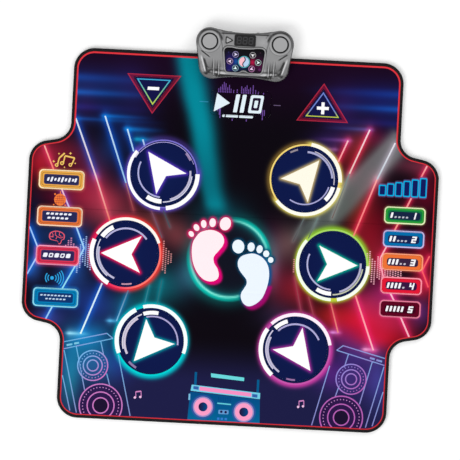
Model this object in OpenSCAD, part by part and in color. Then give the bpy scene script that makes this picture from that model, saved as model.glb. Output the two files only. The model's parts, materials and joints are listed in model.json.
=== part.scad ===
// Electronic dance mat: a padded, foldable floor mat with eighteen printed
// pressure pads and a clamped-on control box. Millimetres, +Z up.
// Origin: centre of the mat, on the floor. +Y is the back, where the box sits; -X is left.

/* [Mat outline] */
// Width across the two side wings
mat_w = 930; // [900:10:960]
// Width of the body in front of and behind the wings
body_w = 748; // [730:2:760]
// Length of the mat, front edge to back edge
mat_h = 839; // [820:1:860]
// Radius of the four body corners
corner_r = 47; // [30:1:60]
// Radius of the wing corners
wing_r = 45; // [30:1:50]
// Radius of the inside curve where a wing meets the body
inner_r = 40; // [30:1:50]
// Slope of the wing's shoulder, in degrees
wing_slope = 11; // [6:1:16]
// Distance of the wing corner's centre from the middle of the mat, along Y
wing_y = 160; // [150:1:165]

/* [Mat layers] */
// Thickness of the anti-slip base cloth
base_t = 1.2; // [1:0.1:1.5]
// Top of the printed cover above the floor
cover_top = 8; // [8:0.1:9]
// Thickness of the printed cover
cover_t = 1; // [0.8:0.1:1]
// Width of the edge binding seen from above
bind_w = 6; // [5:0.5:7]

/* [Folds] */
// Place of the fold between the back and middle panels
fold_1 = 57.5; // [57:0.5:58]
// Place of the fold between the middle and front panels
fold_2 = -117.2; // [-117.6:0.1:-116.9]
// Gap left at each fold, on each side
fold_gap = 0.5; // [0.3:0.1:0.8]

/* [Pads] */
// Radius of a step pad
pad_r = 71.4; // [70:0.2:71.4]
// Travel of a pad when stepped on
pad_travel = 2; // [1:0.5:2]
// Size of a mode key along X
mode_l = 96; // [90:1:98]
// Size of a mode key along Y
mode_h = 38; // [34:1:38]
// Size of a level key along X
level_l = 86; // [80:1:88]
// Size of a level key along Y
level_h = 32; // [28:1:32]

/* [Control box] */
// Sideways place of the control box
box_x = 10; // [-10:1:10]
// Top of the control box above the floor
box_top = 34; // [34:0.5:36]
// Wall thickness of the shells
wall = 2.2; // [2:0.1:2.4]
// Radius of the two round buttons
button_r = 16.8; // [15:0.2:17]

/* [Hidden] */

eps = 0.01;  // small overlap that joins stacked solids

// ---- shared shapes ----
function arc(center, radius, from, to, steps = 10) = [
  for (i = [0:steps]) let (a = from + (to - from) * i / steps)
    [center[0] + radius * cos(a), center[1] + radius * sin(a)]];
function mirror_x(points) = [for (i = [len(points) - 1:-1:0]) [-points[i][0], points[i][1]]];
function mirror_y(points) = [for (i = [len(points) - 1:-1:0]) [points[i][0], -points[i][1]]];
function pair(x, y) = [[-x, y], [x, y]];

// rounded rectangle from [X size, Y size, corner radius], grown by gap all round
function key_shape(key, gap = 0) = let (
    radius = key[2] + gap,
    x = key[0] / 2 + gap - radius,
    y = key[1] / 2 + gap - radius)
  concat(
    arc([x, y], radius, 0, 90, 6), arc([-x, y], radius, 90, 180, 6),
    arc([-x, -y], radius, 180, 270, 6), arc([x, -y], radius, 270, 360, 6));

// triangle scaled about its centroid
function scale_tri(points, factor) = let (center = (points[0] + points[1] + points[2]) / 3)
  [for (point = points) center + (point - center) * factor];
// triangle with its corners rounded
function round_tri(points, radius) = [for (i = [0:2]) let (
    before = points[(i + 2) % 3],
    corner = points[i],
    after = points[(i + 1) % 3],
    to_before = (before - corner) / norm(before - corner),
    to_after = (after - corner) / norm(after - corner),
    half = acos(to_before * to_after) / 2,
    center = corner + (to_before + to_after) / norm(to_before + to_after) * radius / sin(half),
    first = corner + to_before * radius / tan(half) - center,
    last = corner + to_after * radius / tan(half) - center,
    start = atan2(first[1], first[0]),
    turn = atan2(last[1], last[0]) - start,
    sweep = turn > 180 ? turn - 360 : turn < -180 ? turn + 360 : turn)
  each arc(center, radius, start, start + sweep, 5)];

module prism(points, low, high) translate([0, 0, low]) linear_extrude(high - low) polygon(points);
module prism_at(at, points, low, high) translate([at[0], at[1], 0]) prism(points, low, high);
module rod(at, radius, low, high)
  translate([at[0], at[1], low]) cylinder(r = radius, h = high - low, $fn = 48);
module rod_x(at, radius, length, sides)
  translate(at) rotate([0, 90, 0]) cylinder(r = radius, h = length, $fn = sides);
module rod_y(at, radius, length)
  translate(at) rotate([-90, 0, 0]) cylinder(r = radius, h = length, $fn = 48);
module block(at, size) translate(at) cube(size);

// ---- mat heights, from the floor up ----
layer_gap = 0.05;
film_t = 0.3;
contact_rise = 0.2;                           // raised contacts on the lower film
film_low = base_t + layer_gap;                // lower contact film
film_high = film_low + film_t;
foam_low = film_high + layer_gap;             // foam spacer
cover_low = cover_top - cover_t;
top_film_high = cover_low - layer_gap;
top_film_low = top_film_high - film_t;
foam_high = top_film_low - layer_gap;
bind_top = cover_top + 0.2;
pocket_low = foam_high - pad_travel - 0.6;    // floor of the pockets under the pads
stud_low = film_high + contact_rise + pad_travel + 0.1;

layer_inset = 1.4;                            // inner layers stop this far inside the edge
cloth_inset = bind_w + 0.1;                   // cover and base cloth lie inside the binding

// ---- pads: [x, y] of each centre, listed by panel ----
BACK = 0;
MIDDLE = 1;
FRONT = 2;
STEP_PADS = [
  [[-160.5, 145], [161.5, 147]],
  [[-235, -42], [234.5, -42.5]],
  [[-165, -239.5], [160, -239.5]]];
MODE_PADS = [[[-388, 118]], [[-388, 35], [-388, -55]], [[-388, -149]]];
LEVEL_PADS = [[[392, 77]], [[392, 24], [392, -29], [392, -83]], [[392, -135.5]]];
START_AT = [8, 311];

// keys: [X size, Y size, corner radius]
MODE_KEY = [mode_l, mode_h, 7];
LEVEL_KEY = [level_l, level_h, 6];
START_KEY = [136, 56, 8];
key_gap = 0.5;

// triangular pads: corner points before rounding
MINUS = [[-240, 359.5], [-193, 291], [-146, 359.5]];
PLUS = [[147, 287], [240, 287], [193.5, 354.5]];
tri_r = 6;
tri_cut_scale = 1.035;

// contacts: a ring of four and one in the middle for a step pad, two for a
// rectangular key, one for a triangle
step_stud_r = 11.5;
key_stud_r = 8;
MINUS_CONTACT = [-193, 336];
PLUS_CONTACT = [193.5, 309];
function step_contacts(center) =
  concat([center], [for (a = [45:90:315]) center + 44 * [cos(a), sin(a)]]);
function key_contacts(center, spread = 24) = [center + [-spread, 0], center + [spread, 0]];
START_CONTACTS = key_contacts(START_AT, 36);
function panel_key_contacts(part) = concat(
  [for (center = concat(MODE_PADS[part], LEVEL_PADS[part])) each key_contacts(center)],
  part == BACK ? concat(START_CONTACTS, [MINUS_CONTACT, PLUS_CONTACT]) : []);

// ---- places in the control box; its own X starts at box_x ----
box_at = [box_x, 0, 0];
clamp_screws = pair(62, 392);
rear_screws = pair(52, 465.5);
tongue_x = 58;                                // tongues that reach into the mat
tongue_w = 38;
tongue_y = 384;
tongue_gap = 2;
cable_w = 30;

// ---- mat outline, moved in by inset; all its curves are arcs, so every inset is parallel ----
wing_at = [mat_w / 2 - wing_r, wing_y];
shoulder_outer = wing_at + wing_r * [sin(wing_slope), cos(wing_slope)];
shoulder_inner_x = body_w / 2 + inner_r - inner_r * sin(wing_slope);
shoulder_inner_y = shoulder_outer[1] + (shoulder_outer[0] - shoulder_inner_x) * tan(wing_slope);
inner_at = [body_w / 2 + inner_r, shoulder_inner_y + inner_r * cos(wing_slope)];
function mat_quarter(inset) = concat(
  arc(wing_at, wing_r - inset, 0, 90 - wing_slope),
  arc(inner_at, inner_r + inset, 270 - wing_slope, 180),
  arc([body_w / 2 - corner_r, mat_h / 2 - corner_r], corner_r - inset, 0, 90));
function mat_back_half(inset) = concat(mat_quarter(inset), mirror_x(mat_quarter(inset)));
function mat_outline(inset) = concat(mat_back_half(inset), mirror_y(mat_back_half(inset)));

// Y limits of each panel: [front, back]
PANEL_Y = [
  [fold_1 + fold_gap, mat_h],
  [fold_2 + fold_gap, fold_1 - fold_gap],
  [-mat_h, fold_2 - fold_gap]];

// one panel of the mat, moved in by inset, running overrun past each fold edge
module panel(inset, part, low, high, overrun = 0) {
  front = PANEL_Y[part][0] - overrun;
  back = PANEL_Y[part][1] + overrun;
  translate([0, 0, low]) linear_extrude(high - low) intersection() {
    polygon(mat_outline(inset));
    translate([-mat_w, front]) square([2 * mat_w, back - front]);
  }
}

// ---- cut-outs shared by the mat layers ----
module pad_cuts(part, low, high) {
  for (at = STEP_PADS[part]) rod(at, pad_r + 0.6, low, high);
  for (at = MODE_PADS[part]) prism_at(at, key_shape(MODE_KEY, key_gap), low, high);
  for (at = LEVEL_PADS[part]) prism_at(at, key_shape(LEVEL_KEY, key_gap), low, high);
  if (part == BACK) {
    prism_at(START_AT, key_shape(START_KEY, key_gap), low, high);
    for (tri = [MINUS, PLUS]) prism(round_tri(scale_tri(tri, tri_cut_scale), tri_r), low, high);
  }
}
// a disc at every contact, its radius changed by extra_r
module contact_discs(part, extra_r, low, high) {
  for (center = STEP_PADS[part], at = step_contacts(center))
    rod(at, step_stud_r + extra_r, low, high);
  for (at = panel_key_contacts(part)) rod(at, key_stud_r + extra_r, low, high);
}
// clearance for the control box's two tongues
module tongue_cuts() translate(box_at) for (side = [-1, 1])
  block([side * tongue_x - tongue_w / 2 - tongue_gap, tongue_y - 3, 0],
    [tongue_w + 2 * tongue_gap, 62, 8]);
module clamp_holes(radius, low, high)
  translate(box_at) for (at = clamp_screws) rod(at, radius, low, high);
// ring around a step pad; on the middle panel a wedge is left open towards the front
module pad_ring(at, inner, outer, low, high, part) difference() {
  rod(at, outer, low, high);
  rod(at, inner, low - 1, high + 1);
  if (part == MIDDLE) prism_at(at, [[0, 0], [-70, -112], [70, -112]], low - 1, high + 1);
}

// ---- mat layers ----
module base_cloth(part) color([0.07, 0.07, 0.08]) difference() {
  panel(cloth_inset, part, 0, base_t);
  if (part == BACK) clamp_holes(3.4, -1, base_t + 1);
}
module contact_film(part) color([0.72, 0.74, 0.72]) difference() {
  union() {
    panel(layer_inset, part, film_low, film_high);
    contact_discs(part, -0.5, film_high - eps, film_high + contact_rise);
  }
  if (part == BACK) tongue_cuts();
}
module foam(part) color([0.93, 0.93, 0.9]) difference() {
  panel(layer_inset, part, foam_low, foam_high);
  pad_cuts(part, pocket_low, foam_high + 1);
  contact_discs(part, 1.5, 0, foam_high + 1);
  for (at = STEP_PADS[part]) pad_ring(at, 74.6, 80.6, pocket_low - 0.1, foam_high + 1, part);
  if (part == BACK) {
    tongue_cuts();
    // channel for the flat cable
    translate(box_at) block([-cable_w / 2 - 1, 404, foam_low - 1], [cable_w + 2, 30, 1.6]);
  }
}
module top_film(part) color([0.8, 0.84, 0.86]) difference() {
  panel(layer_inset, part, top_film_low, top_film_high);
  pad_cuts(part, top_film_low - 1, top_film_high + 1);
  if (part == BACK) tongue_cuts();
}
module cover(part) color([0.06, 0.03, 0.16]) difference() {
  panel(cloth_inset, part, cover_low, cover_top);
  pad_cuts(part, cover_low - 1, cover_top + 1);
  if (part == BACK) clamp_holes(2, 0, 20);
}
module binding(part) color([0.02, 0.02, 0.025]) difference() {
  panel(0, part, 0, bind_top);
  panel(bind_w, part, -1, bind_top + 1, 2);
  // groove that takes the edges of the inner layers
  panel(layer_inset - 0.2, part, base_t, cover_low, 2);
  // break where the control box sits
  if (part == BACK) translate(box_at) block([-84, 395, -1], [168, 40, 12]);
}
module ring_lights(part) {
  strip_t = 0.4;
  for (at = STEP_PADS[part]) {
    color([0.9, 0.9, 0.86]) pad_ring(at, 75, 80.2, pocket_low, pocket_low + strip_t, part);
    // square lights along the strip, none in its opening
    color([1, 0.95, 0.7]) for (a = [0:30:330]) if (part != MIDDLE || abs(a - 270) > 35)
      translate([at[0], at[1], pocket_low + strip_t - eps]) rotate(a)
        block([75.7, -2, 0], [4, 4, 1.6]);
  }
}

// ---- moving pads ----
navy = [0.04, 0.09, 0.3];
module step_pad(center) color(navy) union() {
  rod(center, pad_r, top_film_low, cover_top);
  for (at = step_contacts(center)) rod(at, step_stud_r, stud_low, top_film_low + eps);
}
module key_pad(center, outline, contacts, tint) color(tint) union() {
  prism_at(center, outline, top_film_low, cover_top);
  for (at = contacts) rod(at, key_stud_r, stud_low, top_film_low + eps);
}
module start_pad() key_pad(START_AT, key_shape(START_KEY), START_CONTACTS, [0.1, 0.04, 0.16]);
module minus_pad() key_pad([0, 0], round_tri(MINUS, tri_r), [MINUS_CONTACT], navy);
module plus_pad() key_pad([0, 0], round_tri(PLUS, tri_r), [PLUS_CONTACT], navy);
module mode_pad(at, tint) key_pad(at, key_shape(MODE_KEY), key_contacts(at), tint);
module level_pad(at, tint) key_pad(at, key_shape(LEVEL_KEY), key_contacts(at), tint);

// ---- control box outline, moved in by inset: four corner arcs joined by hollow arcs at
// front and back and by two straight sides ----
ear_at = [79.5, 448.5];                       // back corners
ear_r = 31.5;
toe_at = [72, 394];                           // front corners
toe_r = 30;
box_front = 371;                              // edges on the centre line
box_back = 470.5;
// radius of a hollow arc that meets the corner arc and passes depth beyond its centre
function hollow_r(corner, radius, depth) =
  (corner[0] * corner[0] + depth * depth - radius * radius) / (2 * (radius - depth));
front_r = hollow_r(toe_at, toe_r, toe_at[1] - box_front);
back_r = hollow_r(ear_at, ear_r, box_back - ear_at[1]);
front_arc_y = box_front - front_r;
back_arc_y = box_back + back_r;
side_a = atan2(ear_at[1] - toe_at[1], ear_at[0] - toe_at[0])
  - acos((toe_r - ear_r) / norm(ear_at - toe_at));
toe_a = atan2(front_arc_y - toe_at[1], -toe_at[0]) + 360;
ear_a = atan2(back_arc_y - ear_at[1], -ear_at[0]);
back_a = atan2(ear_at[1] - back_arc_y, ear_at[0]);
function box_half(inset) = concat(
  arc([0, front_arc_y], front_r + inset, 90, toe_a - 180, 6),
  arc(toe_at, toe_r - inset, toe_a, side_a + 360, 12),
  arc(ear_at, ear_r - inset, side_a, ear_a, 14),
  arc([0, back_arc_y], back_r + inset, back_a, -90, 6));
module box_prism(inset, low, high)
  prism(concat(box_half(inset), mirror_x(box_half(inset))), low, high);

// ---- control box heights and places ----
split_z = 8.4;                                // top of the bottom shell
top_shell_low = split_z + 0.2;
roof_z = box_top - wall;                      // underside of the roof
rim_1 = box_top - 4;                          // the roof's rim steps in twice
rim_2 = box_top - 2;
roof_cut_low = box_top - 6;
roof_cut_high = box_top + 2;
board_low = 19.4;
board_high = 21;
stem_low = 26.1;                              // lower end of the button stems
switch_top = 25;
screw_top = 19;
floor_y = 421.5;                              // bottom shell starts just behind the mat's edge
door_x = 57;                                  // half the width of the battery door
door_front = 424.4;
door_back = 456.5;
door_len = door_back - door_front;
hinge_z = 0.95;
pegs = pair(44, 387);
button_at = [80, 448];
speaker_at = [-ear_at[0], ear_at[1], 0];
display_at = [0, 453.2];
WINDOW = [47, 24.6, 3];                       // X size, Y size, corner radius
PLAY = [[-43, 444.4], [-43, 460.6], [-27, 452.5]];
play_stem = [-37.7, 452.5];
cue_places = concat(pair(19, 422), pair(31, 405), pair(19, 390));
switch_x = 33;
aux_x = -34;
port_z = 16;                                  // height of the socket and switch slot centres

// label recess: wide at the back, narrow at the front
function label_shape(inset) = let (
    back = pair(37.5 - inset, 427.5 - inset),
    front = pair(34 - inset, 388.5 + inset))
  concat(
    arc(back[1], 8, 0, 90, 6), arc(back[0], 8, 90, 180, 6),
    arc(front[0], 7, 180, 270, 6), arc(front[1], 7, 270, 360, 6));

// ---- control box shells ----
module box_top_shell() color([0.5, 0.51, 0.52]) translate(box_at) difference() {
  union() {
    difference() {
      union() {
        box_prism(0, top_shell_low, rim_1);
        box_prism(1, rim_1 - eps, rim_2);
        box_prism(2.6, rim_2 - eps, box_top);
      }
      box_prism(wall, split_z - 1, rim_1);
      box_prism(wall + 1.2, rim_1 - eps, roof_z);
    }
    // screw posts
    for (at = clamp_screws) rod(at, 3.6, cover_top + 0.1, roof_z + eps);
    for (at = rear_screws) rod(at, 3.4, top_shell_low, roof_z + eps);
    // pegs that locate the circuit board
    for (at = pegs) {
      rod(at, 3, board_high + 0.05, roof_z + eps);
      rod(at, 1.5, board_low - 0.6, board_high + 0.1);
    }
    // floor of the label's recess
    prism(label_shape(-2), roof_z - 2.4, roof_z + eps);
  }
  // openings in the roof
  for (at = pair(button_at[0], button_at[1]))
    rod(at, button_r + 1.2, roof_cut_low, roof_cut_high);
  prism(round_tri(scale_tri(PLAY, 1.16), 2), roof_cut_low, roof_cut_high);
  prism_at(display_at, key_shape(WINDOW, 0.3), roof_cut_low, roof_cut_high);
  prism(label_shape(0), roof_z, roof_cut_high);
  for (at = cue_places) rod(at, 4, 20, box_top);
  for (at = concat(clamp_screws, rear_screws)) rod(at, 1.5, 0, 22);
  // slot for the power switch, and the hole for the audio socket
  block([switch_x - 8, 464, port_z - 2.8], [16, 14, 5.6]);
  rod_y([aux_x, 462, port_z], 4.2, 20);
}
module box_bottom_shell() color([0.42, 0.43, 0.44]) translate(box_at) difference() {
  union() {
    difference() {
      intersection() {
        box_prism(0.5, 0, split_z);
        block([-200, floor_y, -1], [400, 100, 40]);
      }
      difference() {
        intersection() {
          box_prism(0.5 + wall, 2, split_z + 1);
          block([-200, floor_y + 2, -1], [400, 100, 40]);
        }
        // ribs beside the batteries
        for (side = [-1, 1])
          block([side * (door_x + 1.6) - 0.8, floor_y, 0], [1.6, 39, split_z]);
      }
    }
    for (at = rear_screws) rod(at, 3.4, 0, split_z);
    // two tongues that reach into the mat and clamp it to the top shell
    for (side = [-1, 1])
      block([side * tongue_x - tongue_w / 2, tongue_y, film_low + 0.1],
        [tongue_w, floor_y - tongue_y + 1, 2]);
    for (at = clamp_screws) rod(at, 4, film_low + 1, cover_low - 0.1);
  }
  // screw holes, and recesses for the rear heads
  for (at = concat(rear_screws, clamp_screws)) rod(at, 1.6, -1, 20);
  for (at = rear_screws) rod(at, 3.1, -1, 1.8);
  // opening and hinge holes for the battery door
  block([-door_x - 0.4, door_front - 0.4, -1], [2 * door_x + 0.8, door_len + 1.9, 4]);
  rod_x([-door_x - 2.3, door_back, hinge_z], 0.66, 2 * door_x + 4.6, 48);
  // sound holes under the speaker: one in the middle, then rings of 6 and 12
  translate(speaker_at) for (r = [0, 6, 12], k = [0:1:max(0, r - 1)])
    let (a = k * 360 / max(1, r)) rod(r * [cos(a), sin(a)], 1, -1, 4);
}
module battery_door() color([0.4, 0.41, 0.42]) translate(box_at) difference() {
  union() {
    block([-door_x, door_front, 0], [2 * door_x, door_len, 1.9]);
    rod_x([-door_x, door_back, hinge_z], 0.95, 2 * door_x, 32);
    // hinge pins that turn in the bottom shell
    rod_x([-door_x - 2, door_back, hinge_z], 0.6, 2 * door_x + 4, 32);
  }
  // finger grooves
  for (k = [0:4]) block([-12, door_front + 3 + 2.4 * k, -1], [24, 1, 1.5]);
}
module screw(at, low) {
  rod(at, 2.8, low, low + 1.05);
  rod(at, 1.35, low + 1, screw_top);
}
module shell_screws() color([0.6, 0.6, 0.62]) translate(box_at) {
  for (at = clamp_screws) screw(at, 0.15);
  for (at = rear_screws) screw(at, 0.7);
}

// ---- batteries: two rows of two cells lying along X ----
steel = [0.8, 0.8, 0.82];
cell_rows = [432, 447.8];
cell_x = 27.6;
cell_z = 10;
cell_r = 7.1;
// the way a cell's button end points along X: outwards in the front row, inwards in the back
function cell_dir(y, side) = y == cell_rows[0] ? side : -side;
module batteries() for (y = cell_rows, side = [-1, 1])
  translate([box_x + side * cell_x, y, cell_z]) rotate([0, 90 * cell_dir(y, side), 0]) {
    color([0.1, 0.1, 0.12]) translate([0, 0, -23.4]) cylinder(r = cell_r, h = 37, $fn = 48);
    color([0.75, 0.55, 0.2]) translate([0, 0, 13.6 - eps])
      cylinder(r = cell_r, h = 12.2, $fn = 48);
    color(steel) translate([0, 0, 25.8 - 2 * eps]) cylinder(r = 2.7, h = 1.3, $fn = 32);
  }
// each cell's flat end faces a coil, its button end faces a plate
module battery_springs() {
  pitch = 0.9;
  function turn_r(k) = 3.4 + 0.35 * k;
  color(steel) for (y = cell_rows, side = [-1, 1]) {
    dir = cell_dir(y, side);
    for (k = [0:3]) translate([box_x + side * cell_x - dir * (24 + pitch * k), y, cell_z])
      rotate([0, 90, 0]) rotate_extrude($fn = 32)
        translate([turn_r(k), 0]) circle(r = 0.42, $fn = 16);
    // the wire steps from one turn to the next
    for (k = [0:2]) translate([box_x + side * cell_x - dir * (24 + pitch * k), y, cell_z])
      rotate([120 * k, 0, 0]) translate([0, 0, turn_r(k) + 0.17])
        rotate([0, -90 * dir, 0]) cylinder(r = 0.36, h = pitch, $fn = 16);
  }
}
module battery_plates() {
  plate_t = 0.4;
  plate_h = 13.2;
  color([0.85, 0.83, 0.75]) translate(box_at) {
    for (side = [-1, 1])
      block([side * 55.3 - plate_t / 2, 425.5, 3.4], [plate_t, 29, plate_h]);
    for (y = [425.5, 441.4]) block([-plate_t / 2, y, 3.4], [plate_t, 13, plate_h]);
  }
}

// ---- electronics ----
module main_board() color([0.05, 0.3, 0.14]) translate(box_at) difference() {
  union() {
    block([-48, 383, board_low], [96, 83, board_high - board_low]);
    block([-94, 437, board_low], [188, 21, board_high - board_low]);
    // cable connector, controller chip, wireless module, small block under the right arm
    block([-17, 416, 16.5], [34, 5, 3]);
    block([-8, 398, board_high - eps], [14, 14, 1.8]);
    block([14, 440, 17.6], [20, 14, 1.9]);
    block([56, 440, 16.4], [8, 8, 3.1]);
  }
  for (at = rear_screws) rod(at, 4.2, 10, 30);
  for (at = pegs) rod(at, 1.6, 10, 30);
}
module display_module() color([0.03, 0.03, 0.035])
  translate([box_x + display_at[0], display_at[1], board_high]) union() {
    block([-21, -10.5, 0], [42, 21, 7]);
    // seven-segment digits stand proud of the block
    for (x = [-13.4, 0, 13.4]) translate([x, 0, 7 - eps]) {
      for (y = [-6.6, 0, 6.6]) block([-2.9, y - 0.7, 0], [5.8, 1.4, 0.3]);
      for (x = [-3.7, 3.7], y = [-3.3, 3.3]) block([x - 0.7, y - 2.3, 0], [1.4, 4.6, 0.3]);
    }
  }
module display_window() color([0.1, 0.1, 0.11, 0.6]) translate(box_at)
  prism_at(display_at, key_shape(WINDOW), roof_z - 0.4, box_top - 0.3);
module label_inlay() color([0.15, 0.05, 0.2]) translate(box_at)
  prism(label_shape(0.4), roof_z + 0.02, roof_z + 0.9);
module cue_lights() color([1, 0.97, 0.85]) translate(box_at)
  for (at = cue_places) translate([at[0], at[1], 0]) {
    rod([0, 0], 2.5, board_high, 25);
    translate([0, 0, 25 - eps]) sphere(r = 2.5, $fn = 32);
  }

// buttons: a cap, a flange under the roof and a stem above the switch
flange_high = roof_z - 0.4;
button_grey = [0.55, 0.56, 0.57];
module play_key() color(button_grey) translate(box_at) union() {
  prism(round_tri(PLAY, 2), box_top - 4.2, box_top + 0.2);
  prism(round_tri(scale_tri(PLAY, 1.3), 2), roof_z - 1.9, flange_high);
  rod(play_stem, 2, stem_low, roof_z - 1);
}
module round_button(side) color(button_grey)
  translate([box_x + side * button_at[0], button_at[1], 0]) union() {
    rod([0, 0], button_r, box_top - 5, box_top + 0.3);
    rod([0, 0], button_r + 2.6, roof_z - 2, flange_high);
    rod([0, 0], 3, stem_low, roof_z - 1);
  }
module key_switches() color([0.1, 0.1, 0.1]) translate(box_at) {
  for (at = concat(pair(button_at[0], button_at[1]), [play_stem])) {
    block([at[0] - 3, at[1] - 3, board_high], [6, 6, 3.4]);
    rod(at, 1.7, board_high + 3.4 - eps, switch_top);
  }
  // body of the slide switch, behind its slot
  block([switch_x - 9.5, 459.5, 12.8], [19, 5.5, 6.3]);
}
module speaker() color([0.2, 0.2, 0.21]) translate(box_at + speaker_at) union() {
  // rim
  difference() {
    rod([0, 0], 19.5, 2.3, 4.2);
    rod([0, 0], 17, 2, 5);
  }
  // basket
  difference() {
    translate([0, 0, 4.2 - eps]) cylinder(r1 = 19.5, r2 = 12.5, h = 4.2, $fn = 64);
    translate([0, 0, 4.2 - 2 * eps]) cylinder(r1 = 18, r2 = 11, h = 4.6, $fn = 64);
  }
  // magnet
  rod([0, 0], 12.5, 8.3, 14);
}
module speaker_cone() color([0.08, 0.08, 0.09]) translate(box_at + speaker_at) union() {
  difference() {
    translate([0, 0, 2.7]) cylinder(r1 = 16.4, r2 = 6, h = 4.6, $fn = 64);
    translate([0, 0, 2.2]) cylinder(r1 = 16.6, r2 = 5.2, h = 4.6, $fn = 64);
  }
  rod([0, 0], 6, 6.6, 7.7);
}
module power_switch_knob() color([0.08, 0.08, 0.08]) translate(box_at) union() {
  block([25.6, 465.2, port_z - 2], [6, 7.4, 4]);
  // grip ridges
  for (k = [0:3]) block([26 + 1.5 * k, 472.6 - eps, port_z - 2], [0.8, 0.7, 4]);
}
// runs back over the lower film, then up to the board's connector
module flat_cable() {
  cable_t = 0.25;
  cable_z = film_high + 0.08;
  color([0.75, 0.45, 0.15]) translate(box_at) union() {
    block([-cable_w / 2, 405, cable_z], [cable_w, 15.3, cable_t]);
    block([-cable_w / 2, 420.05, cable_z], [cable_w, cable_t, 16.45 - cable_z]);
  }
}
module aux_socket() color([0.1, 0.1, 0.1]) translate(box_at) difference() {
  union() {
    rod_y([aux_x, 466.3, port_z], 4, 6.9);
    block([aux_x - 5, 458.5, 12.2], [10, 8, 7]);
  }
  rod_y([aux_x, 460, port_z], 1.8, 20);
}

base_cloth(BACK);  // base_cloth_back
base_cloth(MIDDLE);  // base_cloth_middle
base_cloth(FRONT);  // base_cloth_front
contact_film(BACK);  // contact_film_back
contact_film(MIDDLE);  // contact_film_middle
contact_film(FRONT);  // contact_film_front
foam(BACK);  // foam_back
foam(MIDDLE);  // foam_middle
foam(FRONT);  // foam_front
top_film(BACK);  // top_film_back
top_film(MIDDLE);  // top_film_middle
top_film(FRONT);  // top_film_front
cover(BACK);  // cover_back
cover(MIDDLE);  // cover_middle
cover(FRONT);  // cover_front
binding(BACK);  // binding_back
binding(MIDDLE);  // binding_middle
binding(FRONT);  // binding_front
ring_lights(BACK);  // ring_lights_back
ring_lights(MIDDLE);  // ring_lights_middle
ring_lights(FRONT);  // ring_lights_front
step_pad(STEP_PADS[BACK][0]);  // step_pad_back_left
step_pad(STEP_PADS[BACK][1]);  // step_pad_back_right
step_pad(STEP_PADS[MIDDLE][0]);  // step_pad_left
step_pad(STEP_PADS[MIDDLE][1]);  // step_pad_right
step_pad(STEP_PADS[FRONT][0]);  // step_pad_front_left
step_pad(STEP_PADS[FRONT][1]);  // step_pad_front_right
start_pad();
minus_pad();
plus_pad();
mode_pad(MODE_PADS[BACK][0], [0.85, 0.6, 0.2]);  // mode_pad_1
mode_pad(MODE_PADS[MIDDLE][0], [0.85, 0.45, 0.2]);  // mode_pad_2
mode_pad(MODE_PADS[MIDDLE][1], [0.8, 0.2, 0.3]);  // mode_pad_3
mode_pad(MODE_PADS[FRONT][0], [0.1, 0.45, 0.65]);  // mode_pad_4
level_pad(LEVEL_PADS[BACK][0], [0.1, 0.55, 0.25]);  // level_pad_1
level_pad(LEVEL_PADS[MIDDLE][0], [0.05, 0.4, 0.65]);  // level_pad_2
level_pad(LEVEL_PADS[MIDDLE][1], [0.9, 0.4, 0.1]);  // level_pad_3
level_pad(LEVEL_PADS[MIDDLE][2], [0.8, 0.1, 0.15]);  // level_pad_4
level_pad(LEVEL_PADS[FRONT][0], [0.3, 0.04, 0.1]);  // level_pad_5
box_top_shell();
box_bottom_shell();
battery_door();
batteries();
battery_springs();
battery_plates();
main_board();
display_module();
display_window();
label_inlay();
cue_lights();
play_key();
round_button(-1);  // left_button
round_button(1);  // right_button
speaker();
speaker_cone();
power_switch_knob();
shell_screws();
flat_cable();
aux_socket();
key_switches();
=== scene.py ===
"""Folding dance mat with a control box clipped to its back edge.

The mat lies flat on z = 0, x across it and +y towards the back, with its middle at the origin.
It folds along two lines across x, and its cloth is made in two halves that meet at SEAM. The
printed artwork is built into the meshes: every printed shape's outline is cut into the cloth and
its colour is kept on the corners of the triangles. Sizes are in millimetres until a mesh is made
and colours are sRGB 0..255 until they are stored.
"""

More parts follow.
